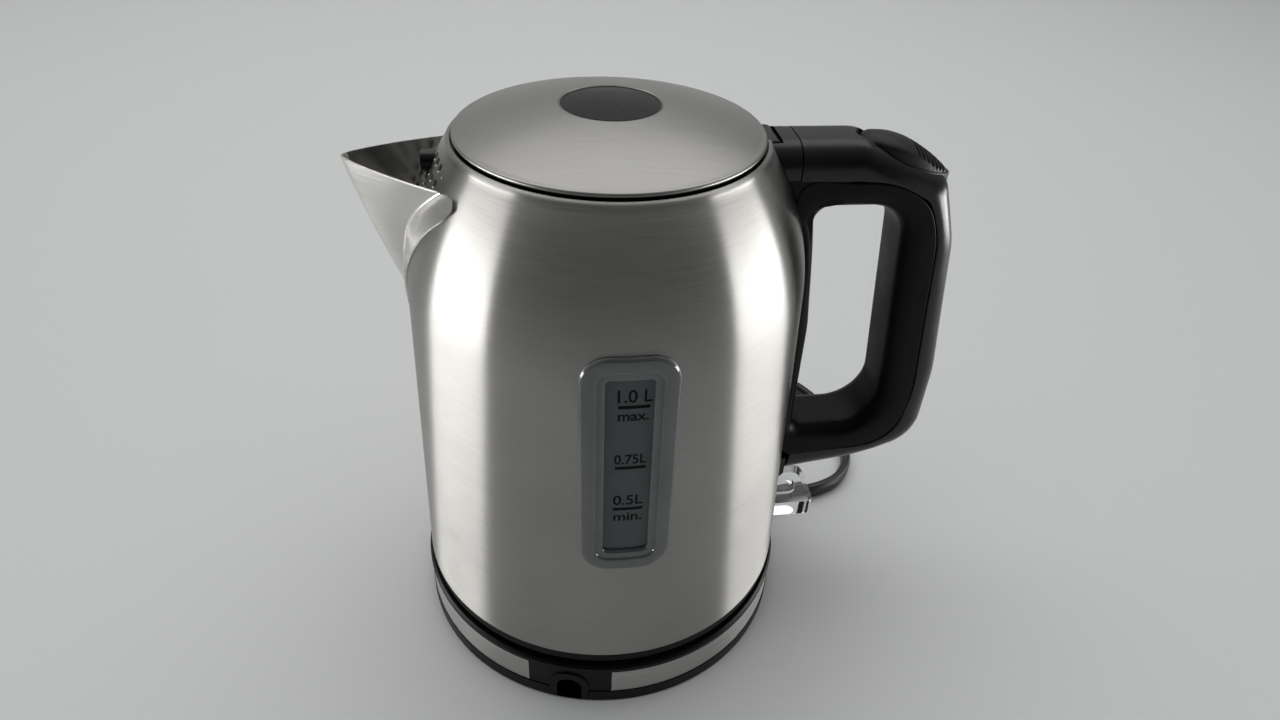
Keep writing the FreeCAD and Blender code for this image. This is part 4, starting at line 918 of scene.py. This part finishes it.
# %% Outer shell
END_WAYS = ((0.0, -1.0), (0.1, 1.0))
END_STATIONS = 14
BUTTON_X, BUTTON_A, BUTTON_B = 95.6, 16.2, 8.6
WELL_GAP, COLLAR_GAP, COLLAR_FOOT_Z = 1.0, 0.3, 170.5


def outer_shell(stations=260, spread=9):
    """From the outer line in to the seam; towards its ends the direction turns to END_WAYS."""
    line = resample(rounded(OUTER_LINE, closed=False, per_arc=16), stations)
    normal = smoothed(outward(line, closed=False), spread)
    count = np.arange(stations)
    blend = np.clip(np.minimum(count, count[::-1]) / END_STATIONS, 0, 1)[:, None]
    end_way = np.where((count < stations / 2)[:, None], *np.array(END_WAYS))
    normal = normal * blend + end_way * (1 - blend)
    normal /= np.linalg.norm(normal, axis=1, keepdims=True)
    width = smoothed((reach_to(seam_line, line, normal) - SEAM_GAP)[:, None], 3)[:, 0]
    return carried("handle_outer", line, normal, width, 8.0, closed=False)


def oval(grow, points=96):
    """The button's outline grown outwards: x = X + (A + grow) cos a, y = (B + grow) sin a."""
    a = np.linspace(0, 2 * np.pi, points, endpoint=False)
    return BUTTON_X + (BUTTON_A + grow) * np.cos(a), (BUTTON_B + grow) * np.sin(a)


def well_bar():
    """A closed upright oval bar round the button, with a sloping floor."""
    x, y = oval(WELL_GAP)
    grid = np.stack([np.stack([x, y, z], -1) for z in (182.6 - 0.376 * (x - 84.0), 0 * x + 210.0)])
    return grid_object("well_bar", grid, wrap_columns=True, cap_rows=True)


def collar_ring():
    """A thin oval wall round the button, its top sloping with the button."""
    rings = []
    for grow, at_top in ((WELL_GAP, 0), (WELL_GAP, 1), (COLLAR_GAP, 1), (COLLAR_GAP, 0)):
        x, y = oval(grow)
        rings.append(np.stack([x, y, 185.0 - 0.30 * (x - 84.0) if at_top else 0 * x + COLLAR_FOOT_Z], -1))
    return grid_object("button_collar", np.stack(rings), wrap_rows=True, wrap_columns=True, sharp=50)


cover = cut(outer_shell(), [well_bar()], sharp=40)
dress(cover, satin_black, "kettle")
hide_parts("handle_cover")
collar = dress(collar_ring(), satin_black, "kettle")
print("outer shell faces:", len(cover.data.polygons))

# %% [markdown]
# ## The inner shell
#
# The inner shell is a ring round the finger opening. On the hand's side it reaches out to the seam,
# and on the vessel's side to the steel. Below it a heel closes the outer shell against the vessel,
# and at its top a root fills the corner behind it.

# %% Inner shell
GRIP_LOW_Z, GRIP_HIGH_Z = 61.6, 178.6
HEEL_CORNERS = [(70.6, 61.3), (70.6, 53.4), (69.2, 51.8)]
ROOT_CORNERS = [(74.0, 178.5), (74.0, 170.5), (64.5, 169.0), (65.6, 150.0), (66.6, 140.0)]


def wall_side(z):
    """x of the vessel's wall at the handle's side faces, with a hair of clearance."""
    return np.sqrt(wall_r(z) ** 2 - GRIP_HALF ** 2) + 0.25


def wall_line(low, high, count):
    """(x, z) points up the vessel's wall at the handle's side faces."""
    z = np.linspace(low, high, count)
    return np.stack([wall_side(z), z], -1)


def inner_shell(stations=360, spread=9):
    """From the finger opening out to the seam or the vessel's wall, whichever comes first."""
    wall = wall_line(GRIP_LOW_Z, GRIP_HIGH_Z, 60)
    free = seam_line[:, 0] > wall_side(np.clip(seam_line[:, 1], GRIP_LOW_Z, GRIP_HIGH_Z)) + 0.5
    border = np.vstack([wall, seam_line[free], wall[:1]])
    line = resample(rounded(OPENING_LINE, per_arc=16), stations, closed=True)
    normal = smoothed_ring(outward(line), spread)
    normal /= np.linalg.norm(normal, axis=1, keepdims=True)
    width = smoothed_ring((reach_to(border, line, normal) - SEAM_GAP)[:, None], 3)[:, 0]
    return carried("handle_inner", line, normal, width, 6.0, closed=True)


grip = dress(inner_shell(), grain_black, "kettle")
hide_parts("handle_grip", "handle_backbone")
heel_line = np.vstack([wall_line(51.8, 61.3, 8), HEEL_CORNERS])
heel = prism("handle_heel", heel_line, -GRIP_HALF + 0.1, GRIP_HALF - 0.1, along_y)
dress(heel, satin_black, "kettle")
root_line = np.vstack([wall_line(140.0, 178.5, 24), ROOT_CORNERS])
root = prism("handle_root", root_line, -GRIP_HALF + 0.3, GRIP_HALF - 0.3, along_y)
dress(root, grain_black, "kettle")
print("handle heel and root faces:", len(heel.data.polygons), len(root.data.polygons))

# %% [markdown]
# ## Hinge housing
#
# The neck closes the space between the mouth and the handle. It is a rounded bar along X, hollowed
# where the vessel stands and where the lid's knuckle turns. The knuckle fills that pocket flush.

# %% Neck and knuckle
NECK_CORNERS = [(-GRIP_HALF, 178.6, 0.4), (GRIP_HALF, 178.6, 0.4),
                (GRIP_HALF, 189.5, 8), (-GRIP_HALF, 189.5, 8)]
KNUCKLE_CORNERS = [(44.6, 184.4, 0.5), (53.15, 183.85, 2.9), (53.15, 189.75, 2.9), (44.6, 189.75, 0.5)]
KNUCKLE_HALF = 6.9
PIN_X, PIN_Z = 50.2, 186.8
PIN_PROFILE = [(0.01, -9.0), (0.7, -9.0), (0.9, -8.8), (0.9, 8.8), (0.7, 9.0), (0.01, 9.0)]
POCKET_R, POCKET_HALF, POCKET_WALL_X, POCKET_TURN = 3.1, 7.15, 52.99, 0.45


def bowl_bar():
    """The space of the vessel and its mouth, turned about the axis, with a hair of clearance."""
    z = np.r_[np.linspace(175.0, MOUTH_Z, 20), 190.3]
    r = np.r_[wall_r(z[:-1]) + 0.1, 48.9]
    return lathe("bowl", np.vstack([np.stack([r, z], -1), [(48.9, 196.0), (0.5, 196.0), (0.5, 175.0)]]), 240)


def pocket_bar():
    """Room for the knuckle: an arc about the pin, then a wall up to the open top."""
    turn = np.linspace(-np.pi / 2, POCKET_TURN, 22)
    arc = np.stack([PIN_X + POCKET_R * np.cos(turn), PIN_Z + POCKET_R * np.sin(turn)], -1)
    line = np.vstack([[(40.0, PIN_Z - POCKET_R)], arc, [(POCKET_WALL_X, 200.0), (40.0, 200.0)]])
    return prism("pocket", line, -POCKET_HALF, POCKET_HALF, along_y)


def lay(thing, order, place):
    """Move a turned piece's points: its axes in another order, then shifted to a place."""
    co = points_of(thing.data)[:, order] + np.array(place) * MM
    thing.data.vertices.foreach_set("co", co.ravel())
    return thing


neck = prism("neck", rounded(NECK_CORNERS, per_arc=14), 44.0, 58.35, along_x)
cut(neck, [bowl_bar()], sharp=40)
cut(neck, [pocket_bar()], sharp=40)
dress(neck, satin_black, "kettle")
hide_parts("handle_neck")
knuckle = prism("hinge_knuckle", rounded(KNUCKLE_CORNERS), -KNUCKLE_HALF, KNUCKLE_HALF, along_y)
dress(knuckle, satin_black, "lid")
pin = lay(lathe("hinge_pin", PIN_PROFILE, 32), (1, 2, 0), (PIN_X, 0.0, PIN_Z))
dress(pin, plain_steel, "kettle")
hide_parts("lid_pin")
print("neck faces:", len(neck.data.polygons))

# %% [markdown]
# ## The handle's screws
#
# Four pan-head screws hold the handle from inside the vessel. Each is turned about its own axis,
# slotted while it still stands upright, and then laid along X with its head against the wall.

# %% Handle screws
SCREW_PROFILE = [(0.01, -1.8), (2.4, -1.8), (3.2, -1.2), (3.4, -0.4), (3.4, 0.0), (1.6, 0.0), (1.6, 4.4),
                 (1.1, 5.0), (0.01, 5.0)]
SLOT = (0.5, -4.0, 4.0, 0)
HEAD_R = 3.4
SCREW_Z, SCREW_Y = (66.0, 160.0), (-7.0, 7.0)


def along_z(outline, depth):
    """Outline (u, v) becomes x = u and y = v, and the depth is z."""
    return np.stack([outline[:, 0], outline[:, 1], np.full(len(outline), depth)], -1)


def screw(x, y, z):
    """A screw along X: turned, slotted, and laid so that the underside of its head is at x."""
    made = lathe("handle_screw", SCREW_PROFILE, 40, sharp=40)
    cut(made, [prism("slot", rounded(rectangle(*SLOT)), -3.0, -1.1, along_z)], sharp=40)
    lay(made, (2, 0, 1), (x, y, z))
    close_mesh(made.data, 40)
    return made


def head_x(z):
    """x where a head's rim touches the inside of the wall at height z."""
    return math.sqrt((wall_r(z) - SHEET - 0.1) ** 2 - (SCREW_Y[1] + HEAD_R) ** 2) - 0.3


screws = [screw(head_x(z), y, z) for z in SCREW_Z for y in SCREW_Y]
for made in screws:
    dress(made, plain_steel, "kettle")
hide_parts("handle_screws")
print("screws:", len(screws))

# %% [markdown]
# ## The button
#
# The thumb presses an oval lever with a crowned top. Seven ribs cross its rear slope. The top is
# the crest's curve from the side, lowered towards the rim; the ribs are a rounded wave added to it.

# %% Button
CREST_X = np.array([79.4, 81.5, 88.0, 95.0, 104.0, 111.8])
CREST_Z = np.array([186.9, 188.6, 189.4, 187.9, 183.2, 177.6])
CROWN, RIM_ROUND = 2.4, 0.8
RIB_START, RIB_END, RIB_HALF, RIB_PITCH, RIB_DEEP = 97.2, 109.9, 8.0, 1.75, 1.0


def ribs(x, y):
    """Depth of the ribs: a sine of x with its tops and troughs flattened, faded out at the edges."""
    wave = np.clip(1.6 * np.sin((x - RIB_START - 0.4) / RIB_PITCH * 2 * np.pi), -1, 1) * 0.5 + 0.5
    lengthwise = np.clip((x - RIB_START) / 0.6, 0, 1) * np.clip((RIB_END - x) / 0.6, 0, 1)
    return RIB_DEEP * wave * lengthwise * np.clip((RIB_HALF - np.abs(y)) / 0.8, 0, 1)


def button_object(rings=96, around=256):
    """Rings from the top's centre to the rim, down the side, and in under the skirt."""
    a = np.linspace(0, 2 * np.pi, around, endpoint=False)[None]
    q = 1 - (1 - np.linspace(0.0, 1.0, rings)[:, None]) ** 1.35
    x, y = BUTTON_X + BUTTON_A * q * np.cos(a), BUTTON_B * q * np.sin(a)
    z = smooth_curve(x, CREST_X, CREST_Z) - CROWN * (y / BUTTON_B) ** 2
    z = z - RIM_ROUND * (1 - np.sqrt(np.maximum(1 - q ** 9, 0))) - ribs(x, y)
    top = np.stack([x, y, z], -1)
    side = np.stack([x[-1:], y[-1:], 183.2 - 0.30 * (x[-1:] - 84.0)], -1)
    centre = np.stack([x[:1], y[:1], 0 * a + 180.0], -1)
    return grid_object("button_cap", np.concatenate([top, side, centre]), wrap_columns=True, sharp=50)


button = dress(button_object(), button_black, "button")
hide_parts("lid_button")
print("button faces:", len(button.data.polygons))

# %% [markdown]
# ## The lead
#
# The lead is flat: three cores side by side, standing on edge. Its section is an oval pinched
# between the cores. The section is carried along the same line that the CAD part uses: straight
# runs with arcs, then two turns of a coil, then a short tail to the plug. Where it can't be seen it
# is put away neatly behind the base.

# %% Lead
LEAD, LEAD_Z = 7.0, 3.6
HALF_HIGH, HALF_THICK, CORE = 3.42, 2.3, 2.3
ROUTE = [(89.8, 24.1), (104.0, 25.8), (116.2, 31.0), (124.0, 41.0), (127.8, 54.0), (128.6, 69.0),
         (125.8, 85.0), (118.6, 101.0), (107.6, 115.0), (94.6, 127.6), (80.6, 139.4)]
COIL_X, COIL_Y, COIL_R, COIL_START, COIL_END, COIL_TOP_Z = 45.0, 118.0, 40.0, 60.0, 810.0, 17.6
TAIL = [(28.0, 157.6, 17.2), (11.0, 154.6, 14.6), (-5.0, 149.6, 11.6)]


def coil_points(count):
    """Turns of the coil: the angle grows evenly and each turn climbs one thickness."""
    degrees = np.linspace(COIL_START, COIL_END, count)
    a = np.radians(degrees)
    z = np.minimum(LEAD_Z + LEAD * (degrees - COIL_START) / 360.0, COIL_TOP_Z)
    return np.stack([COIL_X + COIL_R * np.cos(a), COIL_Y + COIL_R * np.sin(a), z], -1)


def rounded_route(points, share=0.45):
    """Straight runs joined by quadratic arcs, each taking a share of the shorter run at its corner."""
    p = np.asarray(points, float)
    out = [p[:1]]
    for before, here, after in zip(p, p[1:], p[2:]):
        back, ahead = before - here, after - here
        lengths = np.linalg.norm(back), np.linalg.norm(ahead)
        cut_back = share * min(lengths)
        first, last = here + back / lengths[0] * cut_back, here + ahead / lengths[1] * cut_back
        out += [first[None], bent(first, here, last, 7)]
    return np.concatenate([*out, p[-1:]])


def lead_object(line):
    """The pinched oval carried along a line; its wide side stays upright."""
    along = np.gradient(line, axis=0)
    along /= np.linalg.norm(along, axis=1, keepdims=True)
    side = np.cross(along, [0, 0, 1.0])
    side /= np.linalg.norm(side, axis=1, keepdims=True)
    up = np.cross(side, along)
    a = np.linspace(0, 2 * np.pi, 36, endpoint=False)
    high = HALF_HIGH * np.sin(a)
    pinch = 1 - 0.08 * (1 + np.cos(2 * np.pi * high / CORE))
    thick = HALF_THICK * np.sign(np.cos(a)) * np.abs(np.cos(a)) ** 0.55 * pinch
    grid = line[:, None] + side[:, None] * thick[None, :, None] + up[:, None] * high[None, :, None]
    return grid_object("lead", grid, wrap_columns=True, cap_rows=True, sharp=60)


route = np.vstack([[(x, y, LEAD_Z) for x, y in ROUTE], coil_points(90), TAIL])
line = rounded_route(route)
length = float(np.linalg.norm(np.diff(line, axis=0), axis=1).sum())
line = resample(line, int(length / 1.6))
lead = dress(lead_object(line), cord_black, "base")
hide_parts("cord", "cord_coil", "cord_tail")
print("lead length in metres:", round(length * MM, 3))

# %% [markdown]
# ## Finishes on the CAD parts
#
# The parts whose CAD shape is already right only need a finish. Their flat facets are shaded
# smooth, except at real edges.

# %% CAD finishes
FINISH = (
    (satin_black, "mouth_ring filter_frame filter_mesh switch_bezel"),
    (grain_black, "window_clamp steam_tube underside_cover socket_unit socket_collar control_unit"),
    (grain_black, "switch_housing release_rod lid_inner base_cover base_bottom screw_posts connector_hub"),
    (grain_black, "cord_clamp"),
    (cord_black, "inner_lead strain_relief coil_tie plug_body"),
    (rubber, "window_gasket lid_seal base_feet"),
    (plain_steel, "heater_plate switch_pin button_pin lid_spring base_screws"),
    (band_steel, "base_band"),
    (aluminium, "heat_spreader heating_element"),
    (brass, "socket_contacts bimetal_disc hub_contacts plug_blades"),
    (clear, "switch_lever"))
finished = [(name, made) for made, names in FINISH for name in names.split()]
for name, made in finished:
    mesh = nodes[name].data
    mesh.materials.clear()
    mesh.materials.append(made)
    shade(mesh, 30)
print("finished CAD parts:", len(finished))

# %% [markdown]
# ## Floor
#
# A pale sheet of paper lies on the table and curves up behind the kettle, so no horizon shows. It
# is a straight run, a quarter turn and a straight rise, carried sideways.

# %% Floor
FLOOR_HALF, FLOOR_NEAR, FLOOR_BEND, BEND_R, FLOOR_TOP = 2200.0, -1600.0, 900.0, 500.0, 2400.0
FLOOR_DROP = 0.05


def backdrop():
    """y and z of a line: flat, then FLOOR_BEND + R sin a and R - R cos a, then straight up."""
    a = np.linspace(0, np.pi / 2, 14)[1:]
    y = np.r_[np.linspace(FLOOR_NEAR, FLOOR_BEND, 12), FLOOR_BEND + BEND_R * np.sin(a), FLOOR_BEND + BEND_R]
    z = np.r_[np.zeros(12), BEND_R - BEND_R * np.cos(a), FLOOR_TOP] - FLOOR_DROP
    x = np.array([-FLOOR_HALF, FLOOR_HALF])[:, None]
    return grid_object("floor_sheet", np.stack([x + 0 * y, y + 0 * x, z + 0 * x], -1))


floor = backdrop()
floor.data.materials.append(material("floor_paper", (0.60, 0.605, 0.605), 0.55))
print("floor faces:", len(floor.data.polygons))

# %% [markdown]
# ## Light
#
# Steel shows what stands around it more than its own colour. Two soft lamps, one on each side,
# make the two bright bands down the vessel, and the pale surroundings fill the rest. The side
# lamps light only the kettle and the lamp over the table only the floor, so each can be set alone.

# %% Lamps
def lamp(name, place, target, width, height, watts):
    """A flat soft lamp at a place, turned to face a target; places in millimetres."""
    data = bpy.data.lights.new(name, "AREA")
    data.shape, data.size, data.size_y = "RECTANGLE", width * MM, height * MM
    data.energy = watts
    thing = bpy.data.objects.new(name, data)
    place, target = Vector(place) * MM, Vector(target) * MM
    turn = (target - place).to_track_quat("-Z", "Y").to_matrix().to_4x4()
    thing.matrix_world = Matrix.Translation(place) @ turn
    bpy.context.scene.collection.objects.link(thing)
    return thing


side_lamps = [lamp("lamp_left", (-640, -40, 75), (0, 0, 75), 440, 150, 2.75),
              lamp("lamp_right", (640, -100, 75), (0, 0, 75), 440, 150, 2.4)]
lamp("lamp_top", (0, 950, 1400), (0, 900, 0), 2600, 1500, 15.0)
lamp_table = lamp("lamp_table", (0, 0, 1500), (0, 0, 0), 2600, 1600, 12.5)
lit, table = (bpy.data.collections.new(name) for name in ("lit_by_side_lamps", "lit_by_table_lamp"))
for thing in bpy.data.objects:
    if thing.type == "MESH":
        (table if thing is floor else lit).objects.link(thing)
lamp_table.light_linking.receiver_collection = table
for thing in side_lamps:
    thing.light_linking.receiver_collection = lit

# %% [markdown]
# ## Surroundings
#
# A world of one plain tint stands for the room. Its strength grows smoothly from the dark front,
# where the camera stands, to the pale back, and again towards the ceiling. The view transform is
# the plain one, so the steel's greys come out as they were set.

# %% Surroundings
def room(dark, pale, top):
    """Surroundings: dark in front, where the camera stands, pale behind and brighter overhead."""
    world = bpy.data.worlds.new("room")
    world.use_nodes = True
    links, make = world.node_tree.links, world.node_tree.nodes
    strength = make["Background"].inputs["Strength"]
    where = make.new("ShaderNodeTexCoord")
    split = make.new("ShaderNodeSeparateXYZ")
    depth, height = make.new("ShaderNodeMapRange"), make.new("ShaderNodeMapRange")
    depth.interpolation_type = height.interpolation_type = "SMOOTHSTEP"
    for spread, low, high, a, b in ((depth, -0.75, 0.35, dark, pale), (height, 0.15, 0.9, 0.0, top)):
        for key, value in (("From Min", low), ("From Max", high), ("To Min", a), ("To Max", b)):
            spread.inputs[key].default_value = value
    add = make.new("ShaderNodeMath")
    add.operation = "ADD"
    for out, into in ((where.outputs["Generated"], split.inputs[0]),
                      (split.outputs["Y"], depth.inputs["Value"]), (depth.outputs[0], add.inputs[0]),
                      (split.outputs["Z"], height.inputs["Value"]), (height.outputs[0], add.inputs[1]),
                      (add.outputs[0], strength)):
        links.new(out, into)
    make["Background"].inputs["Color"].default_value = (0.97, 1.0, 0.99, 1.0)
    bpy.context.scene.world = world


DARK, PALE, TOP = 0.015, 0.30, 0.10
room(DARK, PALE, TOP)
bpy.context.scene.view_settings.view_transform = "Standard"
print("world strength from", DARK, "to", PALE + TOP)
